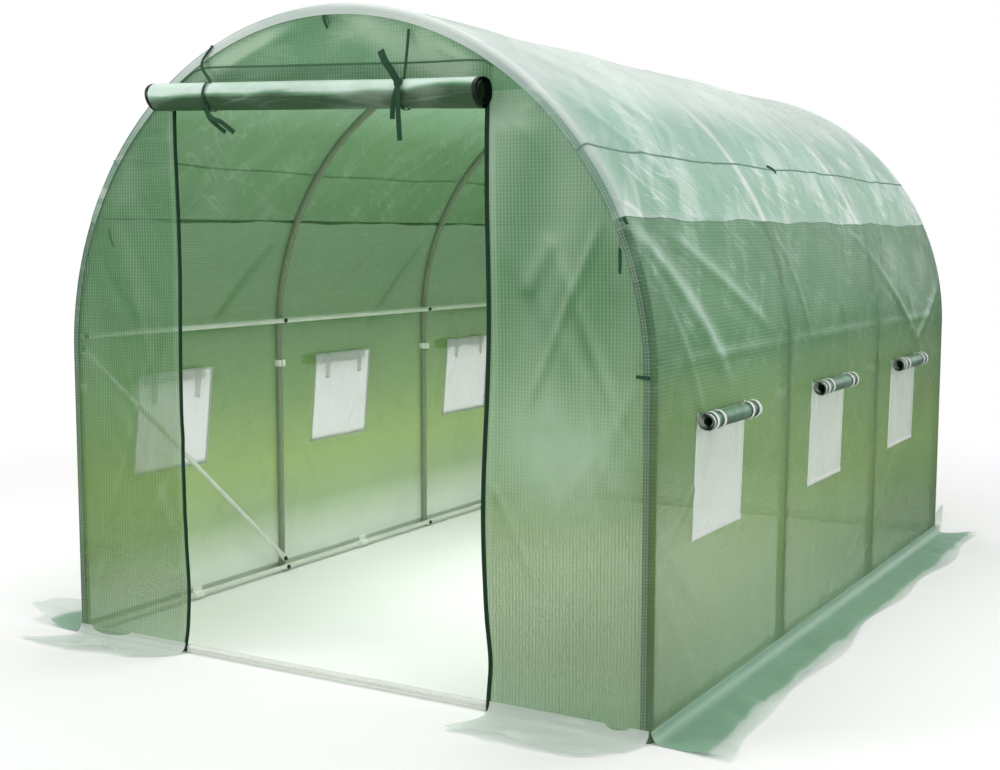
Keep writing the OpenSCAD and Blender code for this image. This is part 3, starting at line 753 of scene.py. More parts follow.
# Roof sheet: the same film in a paler mint, painted paler still towards the crown as a painted
# reflection of the sky. It lies over all four bows, laps over the side sheets at the seams, and is
# hemmed on to both gables as they are.
# Outside, the tones are painted paler towards the crown: a painted reflection of the sky.
roof_sky_sheen_tones = [(0.0, (134, 178, 156)), (0.74, (138, 182, 160)), (0.84, (174, 208, 196)),
              (0.89, (222, 236, 233)), (0.96, (240, 248, 246)), (1.0, (206, 226, 217))]
roof_inner_tones = [(0.68, (102, 140, 100)), (0.85, (108, 148, 106)), (0.96, (156, 194, 164))]
roof_look = {"threads": (0.06, 0.2, 0.17), "body": 0.9, "glow": 0.3, "roughness": 0.14,
             "painted_sheen": (0.4, 1.0, 1.4), "creases": 0.45, "pale": (240, 247, 244), "dark": (78, 126, 96),
             "thread": (226, 238, 230)}
roof_film = woven_film("roof_film", roof_sky_sheen_tones, roof_inner_tones, roof_look, cover_rows)
roof_ups = stepped([seam_up, wall_h + hoop_r * (math.pi - seam_turn)], film_step)
roof_run = stepped([hoop_ys[0], hoop_ys[3]], film_step)
roof_lap_lift = 0.0012
roof_folds = [
    ((-1.44, 2.30), (-0.70, 1.80), 0.050, 0.008), ((-1.40, 2.05), (-0.85, 1.62), 0.040, 0.008),
    ((-1.42, 1.75), (-1.05, 1.42), 0.030, 0.007), ((-0.45, 2.00), (0.10, 1.55), 0.040, 0.007),
    ((0.52, 1.98), (0.95, 1.52), 0.040, 0.007), ((-0.52, 1.75), (-0.80, 1.40), 0.026, 0.005),
    ((0.46, 1.72), (0.20, 1.38), 0.026, 0.005), ((1.44, 1.90), (1.05, 1.45), 0.034, 0.006),
] + scattered_folds(21, 46, (-1.4, 1.4), (1.38, 3.5), (0.18, 0.7), (25, 70), (0.016, 0.045),
                    (-0.002, 0.005))
roof_y, roof_out, roof_length = cover_line(roof_run, roof_lap_lift)
edge_wave = 0.0035 * (np.sin(roof_length * 9.0) + 0.6 * np.sin(roof_length * 23.0 + 1.0))
roof_near_edge = np.exp(-(roof_ups - roof_ups[0]) / 0.03) - np.exp(-(roof_ups[-1] - roof_ups) / 0.03)
roof_up_grid = roof_ups[:, None] + edge_wave[None, :] * roof_near_edge[:, None]
stands_out = cover_out(roof_y[None, :], roof_out[None, :], roof_up_grid, roof_folds)
roof_points = cover_point(roof_y[None, :], stands_out, roof_up_grid)
roof_side = np.sign(wall_h + hoop_r * np.pi / 2 - roof_up_grid)
roof_shade = lit_shade(stands_out, roof_up_grid, 1.8) * roof_side
# Painted highlights along the ridges over the hoops, strongest over the two middle ones, and darker in
# the stitched rims but for the crown, where they are painted a little paler.
crown = np.clip((roof_points[..., 2] - 1.5) / 0.3, 0, 1)
roof_shade += tube_shade(roof_y, 0.02, (-0.1, -0.9, -0.8, -0.1)) + rim_shade(roof_out, 1.0 - 1.1 * crown)
# Painted shade that grows towards the back, and a painted sheen beside both end hoops.
roof_shade += 0.16 * np.clip((roof_y - 0.3) / 0.8, 0, 1)
roof_shade -= tube_shade(roof_y, 0.07, (0.4, 0, 0, 0.4)) * (0.7 + 0.3 * np.sin(roof_up_grid * 9.0))
# On the bend over the front hoop, painted shade down the left and a painted highlight, palest to the
# right of the crown.
sunny = np.clip(0.55 + roof_points[..., 0], 0, 1)
on_bend = np.clip((roof_out - 0.002) / 0.004, 0, 1) * (roof_y < hoop_ys[0] + 0.004)
roof_shade += on_bend * np.maximum(1.1 - 2.2 * sunny, -0.05 - 0.7 * crown)
# A painted highlight along both lower edges.
roof_edge_up = np.minimum(roof_up_grid - seam_up, wall_h + hoop_r * (math.pi - seam_turn) - roof_up_grid)
roof_shade -= 0.3 * np.exp(-(roof_edge_up / 0.012) ** 2) * (0.6 + 0.4 * np.sin(roof_length * 7.0))
roof_uv = joined(roof_length[None, :], roof_up_grid)
roof_sheet = piece("roof_film_sheet", [patch(roof_points, roof_uv, shade=roof_shade)], roof_film,
                   "roof_film", "roof_sheet")


# Roof seams: a narrow welt of folded film sewn along each shoulder of the roof, a hand above
# the edge of the sheet. It wanders a little with the hand of the sewer.
welt_turn = math.radians(36.5)
welt_w = 0.007
welt_h = 0.0022
tape_colour = (26, 62, 40)
tape_thread_colour = (52, 96, 66)


def woven_tape(name, colour, thread_colour, pitch, roughness, glow=0.0):
    """Woven tape: a fine thread grid over UVs in metres, with the tone of handling and a soft relief.
    Glow is the share of light that comes through a thin tape."""
    material, tree, output, place = new_material(name)
    weave = use_group(tree, weave_group, {"UV": place.outputs["UV"], "Pitch": pitch, "Width": 0.45,
                                          "Across": 1.0, "Along": 1.0})
    marks = use_group(tree, marks_group,
                      {"Place": place.outputs["Object"], "Grain": 90.0, "Soil Reach": soil_reach})
    woven = tint(tree, calc(tree, "MULTIPLY", weave["Threads"], 0.55), paint(*colour),
                 paint(*thread_colour))
    toned = tint(tree, 1.0, woven, marks["Tone"], "MULTIPLY")
    rough = calc(tree, "MULTIPLY_ADD", marks["Height"], 0.2, roughness)
    surface = {"Base Color": toned, "Roughness": rough, "Specular IOR Level": 0.25}
    surface_end(tree, output, surface, (0.5, 0.0008, weave["Height"]), glow, paint(*colour))
    return material


green_tape = woven_tape("green_tape", tape_colour, tape_thread_colour, 0.0016, 0.6)
welt_across = np.linspace(-0.5, 0.5, 5)
welt_patches = []
for turn in (welt_turn, math.pi - welt_turn):
    welt_wander = 0.005 * np.sin(roof_y * 3.1 + turn) + 0.003 * np.sin(roof_y * 11.0)
    welt_up = (wall_h + hoop_r * turn + welt_wander)[None, :] + welt_w * welt_across[:, None]
    welt_lift = welt_h * (1 - (2 * welt_across) ** 2) + 0.0002
    welt_lines = np.stack([cover_line(roof_run, roof_lap_lift + lift)[:2] for lift in welt_lift], axis=1)
    welt_points = cover_point(welt_lines[0], cover_out(*welt_lines, welt_up, roof_folds), welt_up)
    welt_uv = joined(roof_length[None, :], welt_up)
    welt_patches.append(patch(welt_points, welt_uv))
seam_film = woven_tape("seam_welt", (138, 176, 157), (166, 200, 184), 0.0022, 0.5, 0.5)
roof_seams = piece("roof_seams", welt_patches, seam_film, "roof_film")


# Front panels: two upright sheets of the green film beside the doorway, sewn round under the
# hems of the cover. Their free edges at the zips hang in slack waves. The left one is a little
# clearer, and the side rail and the brace show through it.
front_film_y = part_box("front_right_panel")[0].y + film_t / 2
panel_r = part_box("front_right_panel")[1].x
door_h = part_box("front_right_panel")[1].z
zip_w = 0.013
panel_rows = [("Y", 0.018), ("Y", 0.030)]
panel_tones = [(0.0, (128, 166, 128)), (0.1, (112, 140, 86)), (0.28, (126, 156, 88)),
               (0.42, (116, 158, 108)), (0.56, (100, 150, 106)), (0.7, (100, 152, 110)),
               (0.92, (104, 158, 116))]
panel_look = {"threads": (0.58, 0.28, 0.26), "body": 0.62, "glow": 0.4, "roughness": 0.2,
              "painted_sheen": (0.25, 1.2, 1.7), "creases": 0.15, "pale": (198, 226, 200), "dark": (70, 112, 78),
              "thread": (188, 214, 182)}
panel_film = woven_film("panel_film", panel_tones, inner_tones, panel_look, panel_rows)
clear_look = {**panel_look, "body": 0.36}
clear_film = woven_film("clear_panel_film", panel_tones, inner_tones, clear_look, panel_rows)


def gable_edge(z):
    """Half the gable's width at a height: straight up the wall, then the arch's circle."""
    return np.sqrt(np.maximum(panel_r ** 2 - np.maximum(z - wall_h, 0) ** 2, 0))


def zip_place(z, side):
    """How far the middle of a zip is from the middle of the front: straight, with slack waves that
    swing it into the doorway at knee height and out again at the foot."""
    if side > 0:
        swung = 0.523 - 0.014 * np.exp(-((z - 0.5) / 0.3) ** 2) + 0.004 * np.sin(7 * z)
        return swung + 0.008 * np.exp(-((z - 0.14) / 0.08) ** 2)
    swung = 0.546 - 0.013 * np.exp(-((z - 0.2) / 0.14) ** 2) + 0.003 * np.sin(8 * z + 1)
    return swung + 0.010 * np.exp(-(z / 0.05) ** 2)


def ripples(x, z, seed, count, size):
    """Gentle hanging ripples of a sheet: a few sine waves that lean a little, with seeded draws."""
    draw = np.random.default_rng(seed)
    total = np.zeros(np.broadcast(x, z).shape)
    for _ in range(count):
        wave = draw.uniform(6, 26)
        lean = draw.uniform(-0.35, 0.35)
        total += np.sin(wave * (x + lean * z) + draw.uniform(0, 2 * np.pi)) * size / count
    return total


def rim_hold(x, z):
    """0 under the hem of the cover and 1 from a hand inside it, by the distance from the gable's edge."""
    inside = panel_r - np.where(z > wall_h, np.hypot(x, z - wall_h), np.abs(x))
    return np.clip((inside - gable_hem_w - 0.004) / 0.07, 0, 1)


def panel_wave(x, z, seed):
    """How far a front panel swings out: its ripples and folds, held under the hem and at the header."""
    folds = scattered_folds(seed, 22, (0.56, 0.95), (0.08, 1.55), (0.15, 0.6), (55, 88), (0.012, 0.03),
                            (-0.003, 0.004))
    swing = ripples(x, z, seed, 5, 0.016) + folds_height(np.abs(x), z, folds)
    return swing * rim_hold(x, z) * np.clip((door_h - z) / 0.1, 0, 1)


panel_seeds = {"right": 31, "left": 32}
panel_zs = stepped([0.0, wall_h, door_h], film_step)
panel_share = np.linspace(0, 1, 48)
for side_name, side in sides.items():
    zip_edge = zip_place(panel_zs, side) + zip_w / 2
    panel_x = side * (zip_edge[:, None] + (gable_edge(panel_zs) - zip_edge)[:, None] * panel_share)
    swing = panel_wave(panel_x, panel_zs[:, None], panel_seeds[side_name])
    panel_points = joined(panel_x, front_film_y - swing, panel_zs[:, None])
    panel_shade = lit_shade(swing, panel_zs[:, None], 3.0)
    # Painted shade over the leg behind it.
    panel_shade += 0.2 * np.exp(-((np.abs(panel_x) - hoop_r) / 0.02) ** 2)
    # A painted sheen on the right panel, painted light on the film higher up, most on the right panel,
    # and a pale line beside the zip.
    panel_shade -= 0.9 * np.exp(-((panel_x - 0.72) / 0.16) ** 2
                                - ((panel_zs[:, None] - 0.71) / 0.17) ** 2)
    panel_shade -= (0.26 if side > 0 else 0.06) * np.clip((panel_zs[:, None] - 0.5) / 0.3, 0, 1)
    panel_shade -= (0.22 if side > 0 else 0.0) * np.clip((panel_zs[:, None] - 1.2) / 0.25, 0, 1)
    panel_shade -= 0.35 * np.exp(-((np.abs(panel_x) - zip_edge[:, None] - 0.012) / 0.008) ** 2)
    panel_uv = joined(np.abs(panel_x), panel_zs[:, None])
    panel = piece(f"front_{side_name}_film",
                  [patch(panel_points, panel_uv, flip=side < 0, shade=panel_shade)],
                  panel_film if side > 0 else clear_film, "side_film", f"front_{side_name}_panel")


# Zips: dark green coil zips down both edges of the doorway, sewn to the panels. One half of
# each is on the panel, and its teeth stand up along the middle of the tape.
zip_teeth_pitch = 0.006
zip_rib_w = 0.0052
zip_rib_h = 0.0024
zip_tape_t = 0.0008
zip_film = woven_tape("zip_tape", (14, 38, 22), (34, 82, 56), 0.0014, 0.6)
zip_zs = np.arange(0.004, door_h, zip_teeth_pitch / 4)
zip_across = np.array([-0.5, -0.24, -0.18, -0.1, 0.1, 0.18, 0.24, 0.5]) * zip_w
tooth = 0.45 + 0.55 * (np.sin(zip_zs * 2 * np.pi / zip_teeth_pitch) > 0)
zip_patches = []
for side_name, side in sides.items():
    zip_x = side * (zip_place(zip_zs, side)[:, None] + zip_across)
    on_rib = np.clip((zip_rib_w / 2 - np.abs(zip_across)) / 0.0012, 0, 1)
    zip_edge = side * (zip_place(zip_zs, side) + zip_w / 2)
    swing = panel_wave(zip_edge[:, None], zip_zs[:, None], panel_seeds[side_name])
    stand = zip_tape_t + zip_rib_h * on_rib[None, :] * tooth[:, None]
    zip_front = joined(zip_x, front_film_y - swing - stand, zip_zs[:, None])
    zip_uv = joined(zip_across, zip_zs[:, None])
    zip_patches.append(patch(zip_front, zip_uv, flip=side < 0))
    zip_back = zip_front * (1, 0, 1) + joined(0.0, front_film_y - swing + stand, 0.0)
    zip_patches.append(patch(zip_back, zip_uv, flip=side > 0))
piece("door_zip_coils", zip_patches, zip_film, "zip", "door_zips")


# Header: the half-moon of green film over the doorway, sewn under the hem of the roof.
# A stitched line across it holds the top edge of the rolled door.
header_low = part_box("front_header")[0].z
header_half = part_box("front_header")[1].x
header_xs = np.linspace(-header_half, header_half, 120)
header_share = np.linspace(0, 1, 26)
header_top = wall_h + np.sqrt(panel_r ** 2 - header_xs ** 2)
header_z = header_low + (header_top - header_low) * header_share[:, None]
header_folds = [((-0.42, 1.72), (-0.10, 1.85), 0.020, 0.007), ((0.36, 1.77), (0.52, 1.68), 0.016, 0.006)]


def header_wave(x, z):
    """How far the header swings out: its ripples and folds, held under the hem and at its lower edge."""
    swing = ripples(x, z, 35, 4, 0.008) + folds_height(x, z, header_folds)
    return swing * rim_hold(x, z) * np.clip((z - header_low) / 0.03, 0, 1)


header_swing = header_wave(header_xs, header_z)
header_points = joined(header_xs, front_film_y - header_swing, header_z)
header_uv = joined(header_xs, header_z)
header_sheens = [((-0.50, 1.70), (-0.16, 1.845), 0.026, 0.65), ((0.08, 1.87), (0.46, 1.66), 0.045, 0.75),
                 ((0.30, 1.80), (0.48, 1.68), 0.050, 0.65)]
header_shade = lit_shade(header_swing, header_z, 3.0) - folds_height(header_xs, header_z, header_sheens)
header = piece("front_header_film", [patch(header_points, header_uv, shade=header_shade)], panel_film,
               "side_film", "front_header")


# Back end: one plain sheet of the green film that closes the whole gable. It is cut to the arch,
# sewn in under the hems of the cover, and hangs in soft folds.
back_film_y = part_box("back_panel")[1].y - film_t / 2
back_xs = np.linspace(-panel_r, panel_r, 150)
back_share = np.linspace(0, 1, 130)
back_z = (wall_h + np.sqrt(np.maximum(panel_r ** 2 - back_xs ** 2, 0))) * back_share[:, None]
back_folds = scattered_folds(41, 40, (-0.85, 0.85), (0.1, 1.7), (0.15, 0.7), (30, 85), (0.014, 0.035),
                             (-0.003, 0.005))
back_wave = ripples(back_xs, back_z, 42, 5, 0.014) + folds_height(back_xs, back_z, back_folds)
back_wave = back_wave * rim_hold(back_xs, back_z)
back_points = joined(back_xs, back_film_y + back_wave, back_z)
back_uv = joined(back_xs, back_z)
back_shade = lit_shade(back_wave[1:], back_z[1:], 3.0)
back_shade = np.concatenate([back_shade[:1], back_shade])
back_sheet = piece("back_end_film", [patch(back_points, back_uv, flip=True, shade=back_shade)],
                   panel_film, "side_film", "back_panel")


# Skirts: strips of thin milky film sewn to the foot of each wall. They bend out over the ground,
# where soil or slabs are laid on them, and lie in low waves with a doubled band beside the wall.
skirt_bend_r = 0.032
skirt_lie = 0.0015
skirt_steps = 26
skirt_grid = 0.014
banded_length = 2.5
band_shift = 0.17


def skirt_film_material():
    """Thin film: darker in the doubled band beside the wall, pale beyond it, crinkled and see-through."""
    material, tree, output, place = new_material("skirt_film")
    crinkle = use_group(tree, crinkle_group, {"Place": place.outputs["Object"], "Scale": 7.0})
    weave = use_group(tree, weave_group, {"UV": place.outputs["UV"], "Pitch": thread_pitch, "Width": 0.14,
                                          "Across": 0.3, "Along": 0.3})
    across = put(tree, "ShaderNodeSeparateXYZ", {0: place.outputs["UV"]}).outputs["Y"]
    band = rise(tree, calc(tree, "MULTIPLY_ADD", crinkle["Cloud"], 0.05, across), 0.185, 0.165)
    double = tint(tree, band, paint(238, 245, 240), paint(140, 182, 156))
    clouded = tint(tree, 1.0, double, calc(tree, "MULTIPLY_ADD", crinkle["Cloud"], 0.4, 0.8), "MULTIPLY")
    threads = tint(tree, weave["Threads"], clouded, paint(206, 224, 212))
    soil = calc(tree, "MULTIPLY", rise(tree, crinkle["Height"], 0.9, 1.3), 0.08)
    soiled = tint(tree, soil, threads, paint(*soil_colour))
    alpha = calc(tree, "MULTIPLY_ADD", band, 0.3, 0.64)
    rough = calc(tree, "MULTIPLY_ADD", crinkle["Cloud"], 0.25, 0.24)
    surface = {"Base Color": soiled, "Roughness": rough, "Alpha": alpha}
    surface_end(tree, output, surface, (0.6, 0.006, crinkle["Height"]), 0.14, paint(176, 204, 184))
    return material


def skirt_points(length, width, flare, lift, seed, single):
    """A skirt lying along x with its wall at y 0 and running out along minus y: down a quarter bend at
    the wall, then flat, with waves that grow outwards. width, flare and lift are functions of the share
    along it: how far it runs out, how far its edge slides along, and how high its edge stands. A skirt
    without the doubled band has its UVs moved out by single."""
    draw = np.random.default_rng(seed)
    share = np.linspace(0, 1, math.ceil(length / skirt_grid))
    bend = np.linspace(0, np.pi / 2, 8)
    flat = np.linspace(0, 1, skirt_steps)[1:, None]
    reach = width(share)
    out = np.concatenate([np.repeat((skirt_bend_r * (1 - np.cos(bend)))[:, None], len(share), axis=1),
                          skirt_bend_r + flat * (reach - skirt_bend_r)])
    fall = np.concatenate([skirt_bend_r * (1 - np.sin(bend)), np.zeros(skirt_steps - 1)])[:, None]
    grown = np.clip((out - 0.03) / 0.1, 0, 1)
    waves = np.zeros_like(out)
    for _ in range(6):
        waves += np.sin(draw.uniform(5, 30) * share * length + draw.uniform(4, 22) * out
                        + draw.uniform(0, 6.3))
    height = fall + skirt_lie + grown * (0.0025 * np.abs(waves) + lift(share) * (out / reach) ** 2)
    slide = flare(share) * (out / reach) ** 1.5
    x = share * length + slide
    uv = joined(share * length, out + single)
    return joined(x, -out, height), uv


def laid(points, start, along, outward):
    """Points of a skirt put at a wall: x along it, minus y outwards from it."""
    base = np.array([along, -np.array(outward), (0.0, 0.0, 1.0)], float)
    return points @ base + np.array(start)


def bell(share, place, spread):
    """A bell curve along a skirt."""
    return np.exp(-((share - place) / spread) ** 2)


def edge_waves(share, seed, size):
    """The uneven edge of a hand-cut strip: three sine waves with seeded draws."""
    draw = np.random.default_rng(seed)
    return sum(np.sin(draw.uniform(8, 40) * share + draw.uniform(0, 6.3)) for _ in range(3)) * size / 3


skirt_film = skirt_film_material()
wall_out = half_w - 0.0005
gable_out = -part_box("front_right_panel")[0].y
tunnel_l = hoop_ys[3] - hoop_ys[0] + 2 * film_out
skirts = {
    "right_skirt": {
        "length": tunnel_l, "start": (wall_out, -gable_out, 0), "along": (0, 1, 0), "outward": (1, 0, 0),
        "seed": 51,
        "width": lambda t: 0.178 + 0.045 * bell(t, 0.0, 0.04) - 0.028 * bell(t, 0.53, 0.1)
            + edge_waves(t, 52, 0.02),
        "flare": lambda t: -0.02 * bell(t, 0.0, 0.05) + 0.03 * bell(t, 1.0, 0.06),
        "lift": lambda t: 0.010 + 0.012 * bell(t, 0.3, 0.1), "turned": True},
    "left_skirt": {
        "length": tunnel_l, "start": (-wall_out, -gable_out, 0), "along": (0, 1, 0),
        "outward": (-1, 0, 0), "seed": 53,
        "width": lambda t: 0.19 + 0.085 * bell(t, 0.03, 0.06) + edge_waves(t, 54, 0.022),
        "flare": lambda t: 0.03 * bell(t, 0.0, 0.05) + 0.02 * bell(t, 1.0, 0.06),
        "lift": lambda t: 0.008 + 0.040 * bell(t, 0.0, 0.08) + 0.012 * bell(t, 0.6, 0.1),
        "turned": False},
    "front_right_skirt": {
        "length": 0.465, "start": (0.528, -gable_out, 0), "along": (1, 0, 0), "outward": (0, -1, 0),
        "seed": 55,
        "width": lambda t: 0.172 + 0.016 * np.sin(np.pi * t) - 0.075 * bell(t, 1.0, 0.13)
            + edge_waves(t, 56, 0.01),
        "flare": lambda t: -0.035 * (1 - t) ** 3 - 0.03 * t ** 4,
        "lift": lambda t: 0.006 + 0.014 * bell(t, 0.35, 0.2),
        "turned": True},
    "front_left_skirt": {
        "length": 0.445, "start": (-0.995, -gable_out, 0), "along": (1, 0, 0), "outward": (0, -1, 0),
        "seed": 57,
        "width": lambda t: 0.135 + 0.03 * bell(t, 0.28, 0.2) - 0.045 * bell(t, 1.0, 0.2)
            + edge_waves(t, 58, 0.01),
        "flare": lambda t: -0.125 * (1 - t) ** 1.5 - 0.05 * t ** 3,
        "lift": lambda t: 0.006 + 0.03 * bell(t, 0.55, 0.1),
        "turned": True},
    "back_skirt": {
        "length": 2.03, "start": (1.015, gable_out, 0), "along": (-1, 0, 0), "outward": (0, 1, 0),
        "seed": 59,
        "width": lambda t: 0.14 + edge_waves(t, 60, 0.014),
        "flare": lambda t: 0.02 * bell(t, 0.0, 0.03),
        "lift": lambda t: 0.008 + 0.085 * bell(t, 0.0, 0.02),
        "turned": True},
}
for skirt_name, skirt in skirts.items():
    shift = 0.0 if skirt["length"] > banded_length else band_shift
    shape = [skirt[value] for value in ("length", "width", "flare", "lift", "seed")]
    flat_points, skirt_uv = skirt_points(*shape, shift)
    skirt_place = laid(flat_points, skirt["start"], skirt["along"], skirt["outward"])
    skirt_patch = patch(skirt_place, skirt_uv, flip=skirt["turned"])
    made = piece(f"{skirt_name}_film", [skirt_patch], skirt_film, "skirt_film", skirt_name)


# Window nets: fine white insect netting in each opening, with a white tape hem at its foot and sides.
# The nets hang a little slack and are pulled into creases at the corners.
hem_w = 0.015
hem_side_w = 0.009
net_over = 0.008
net_colour = (222, 226, 224)
hem_colour = (246, 248, 246)


def net_material():
    """Netting: a very fine thread grid that is open between the threads, in off-white."""
    material, tree, output, place = new_material("window_net")
    weave = use_group(tree, weave_group, {"UV": place.outputs["UV"], "Pitch": 0.0022, "Width": 0.4,
                                          "Across": 1.0, "Along": 1.0})
    crinkle = use_group(tree, crinkle_group, {"Place": place.outputs["Object"], "Scale": 9.0})
    cloud = calc(tree, "MULTIPLY_ADD", crinkle["Cloud"], 0.3, 0.84)
    colour = tint(tree, 1.0, paint(*net_colour), cloud, "MULTIPLY")
    alpha = calc(tree, "MULTIPLY_ADD", weave["Threads"], 0.42, 0.48)
    rough = calc(tree, "MULTIPLY_ADD", crinkle["Cloud"], 0.2, 0.55)
    surface = {"Base Color": colour, "Roughness": rough, "Alpha": alpha}
    surface_end(tree, output, surface, (0.5, 0.003, crinkle["Height"]), 0.35, paint(*net_colour))
    return material


def wall_point(y, z, side_name, lift):
    """A point on the outside of a wall film at a height, lifted off it, where the film hangs askew."""
    hung_y = leaned(y, z, side_name)
    out = cover_out(hung_y, film_out, z, wall_folds[side_name]) + lift
    return cover_point(hung_y, out, z) * (sides[side_name], 1, 1)


window_net = net_material()
hem_tape = woven_tape("hem_tape", hem_colour, (230, 235, 230), 0.0015, 0.55, 0.25)
net_ys = np.linspace(-window_w / 2 - net_over, window_w / 2 + net_over, 46)
net_zs = np.linspace(window_low - net_over, window_high + net_over, 46)
hem_share = np.linspace(-0.5, 0.5, 5)
hem_round = 0.0012 * (1 - (2 * hem_share) ** 4) + 0.0009
for side_name, side in sides.items():
    net_patches = []
    hem_patches = []
    for window_index, window_y in enumerate(window_ys):
        net_folds = scattered_folds(70 + window_index + side, 9, (-0.15, 0.15), (0.5, 0.8), (0.1, 0.3),
                                    (50, 85), (0.006, 0.014), (0.002, 0.006))
        inside = np.clip((window_w / 2 - np.abs(net_ys)) / 0.04, 0, 1) * np.clip(
            np.minimum(net_zs - window_low, window_high - net_zs) / 0.04, 0, 1)[:, None]
        belly = inside * (0.004 + folds_height(net_ys, net_zs[:, None], net_folds)) - 0.0012
        net_points = wall_point(window_y + net_ys, net_zs[:, None], side_name, belly)
        net_uv = joined(net_ys, net_zs[:, None])
        net_patches.append(patch(net_points, net_uv, flip=side < 0))
        hem_runs = [(net_ys, window_low + hem_w * hem_share, True)]
        hem_runs += [(half * window_w / 2 + hem_side_w * hem_share, net_zs, False) for half in (-1, 1)]
        for run_y, run_z, level in hem_runs:
            hem_lift_grid = hem_round[:, None] if level else hem_round[None, :]
            hem_points = wall_point(window_y + run_y[None, :], run_z[:, None], side_name, hem_lift_grid)
            hem_uv = joined(run_y[None, :], run_z[:, None])
            hem_patches.append(patch(hem_points, hem_uv, flip=side < 0))
    nets = piece(f"{side_name}_nets", net_patches, window_net, "net", f"{side_name}_window_nets")
    hems = piece(f"{side_name}_net_hems", hem_patches, hem_tape, "net")


# Window flaps: squares of the green film rolled up outwards above each window. Each is sewn
# on under the top hem and rolled loosely, so its ends show the turns of the film.
flap_r = 0.024
flap_core_r = 0.0105
flap_l = 0.36
flap_turns = 3.3
flap_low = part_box("right_flap_rolls")[0]
flap_axis_x = flap_low.x + flap_r
flap_axis_z = flap_low.z + flap_r
flap_web_h = window_high - flap_axis_z
flap_tape_w = 0.008
web_rows = 5
top_rows = slice(web_rows + 1)
roll_rows = slice(web_rows, None)


def roll_line(outer_r, core_r, turns, web_h):
    """The end view of a rolled sheet, about its axis: straight down a web at the back, then a spiral
    that closes in evenly with the angle, down, forward and up. Gives out, up and the length."""
    angle = np.linspace(0, turns * 2 * np.pi, math.ceil(turns * 30))
    radius = outer_r + (core_r - outer_r) * angle / angle[-1]
    web = np.linspace(web_h, 0, web_rows, endpoint=False)
    out = np.concatenate([np.full(len(web), -outer_r), -radius * np.cos(angle)])
    up = np.concatenate([web, -radius * np.sin(angle)])
    return out, up, np.append(0.0, np.cumsum(np.hypot(np.diff(out), np.diff(up))))


def rolled_sheet(line, length, seed, dent, uneven, web_share):
    """A rolled sheet along x about the origin, facing minus y: the end view carried along the roll,
    with dents along it and the turns' edges out of step by seeded draws. The web above the axis
    narrows to its share of the length. Its shade value is a painted shade on the underside."""
    draw = np.random.default_rng(seed)
    out, up, run = line
    along = np.concatenate([[-0.5, -0.495], np.linspace(-0.48, 0.48, 24), [0.495, 0.5]])
    dents = sum(np.sin(draw.uniform(3, 16) * along + draw.uniform(0, 6.3)) for _ in range(3))
    squeeze = 1 + dent * dents[None, :] / 3
    out_of_step = np.sin(run * draw.uniform(30, 60) + draw.uniform(0, 6.3))
    turn_step = uneven * out_of_step[:, None] * np.abs(2 * along) ** 12
    on_web = (np.arange(len(run)) < web_rows)[:, None]
    x = along * length * np.where(on_web, web_share, 1.0) + turn_step * ~on_web
    points = joined(x, -out[:, None] * squeeze, up[:, None] * squeeze)
    uv = joined(along * length, run[:, None])
    under = np.clip(0.45 - up / out.max(), 0, 1) * 0.9
    return points, uv, np.broadcast_to((under * ~on_web[:, 0])[:, None], x.shape)


# The inner turns of the flaps are painted dark: painted shade inside the roll.
flap_tones = [(0.0, (84, 132, 100)), (0.9, (92, 140, 110))]
flap_look = {"threads": (0.2, 0.2, 0.17), "body": 1.0, "glow": 0.12, "roughness": 0.2,
             "painted_sheen": (0.4, 0.2, 0.4), "creases": 0.0, "pale": (176, 206, 188), "dark": (36, 70, 46),
             "thread": (150, 190, 160), "edge": (flap_l / 2 - flap_tape_w, (228, 234, 228))}
rolled_film = woven_film("rolled_film", flap_tones, [(0.0, (52, 92, 66)), (1.0, (52, 92, 66))], flap_look)
flap_line = roll_line(flap_r, flap_core_r, flap_turns, flap_web_h)
for side_name, side in sides.items():
    flap_patches = []
    for window_index, window_y in enumerate(window_ys):
        rolled, flap_uv, flap_shade = rolled_sheet(flap_line, flap_l, 80 + window_index, 0.05, 0.006,
                                                   window_w / flap_l)
        flap_points = joined(side * (flap_axis_x - rolled[..., 1]), window_y + rolled[..., 0],
                             flap_axis_z + rolled[..., 2])
        for rows, flip in ((roll_rows, side < 0), (top_rows, side > 0)):
            flap_patches.append(patch(flap_points[rows], flap_uv[rows], flip=flip,
                                      shade=flap_shade[rows]))
    flaps = piece(f"{side_name}_rolled_flaps", flap_patches, rolled_film, "side_film",
                  f"{side_name}_flap_rolls")


# Flap straps: white woven tape, sewn on above the window, carried round the rolled flap and back.
# The inner ends come through the hem and hang down inside the net.
strap_w = 0.016
strap_t = 0.0014
strap_shares = (0.06, 0.2, 0.8, 0.94)
strap_gap = 0.0006
inner_tail_w = 0.028
inner_tail_l = 0.085


def smooth_path(points, count):
    """A smooth line through a few points: each stretch is the cubic that passes through its two ends
    with the slope from one neighbour to the next (a Catmull-Rom curve)."""
    knots = np.array(points, float)
    ends = np.concatenate([[2 * knots[0] - knots[1]], knots, [2 * knots[-1] - knots[-2]]])
    t = np.linspace(0, len(knots) - 1, count)
    i = np.minimum(t.astype(int), len(knots) - 2)
    f = (t - i)[:, None]
    before, here, there, after = ends[i], ends[i + 1], ends[i + 2], ends[i + 3]
    return here + 0.5 * f * (there - before + f * (2 * before - 5 * here + 4 * there - after
                                                     + f * (3 * (here - there) + after - before)))


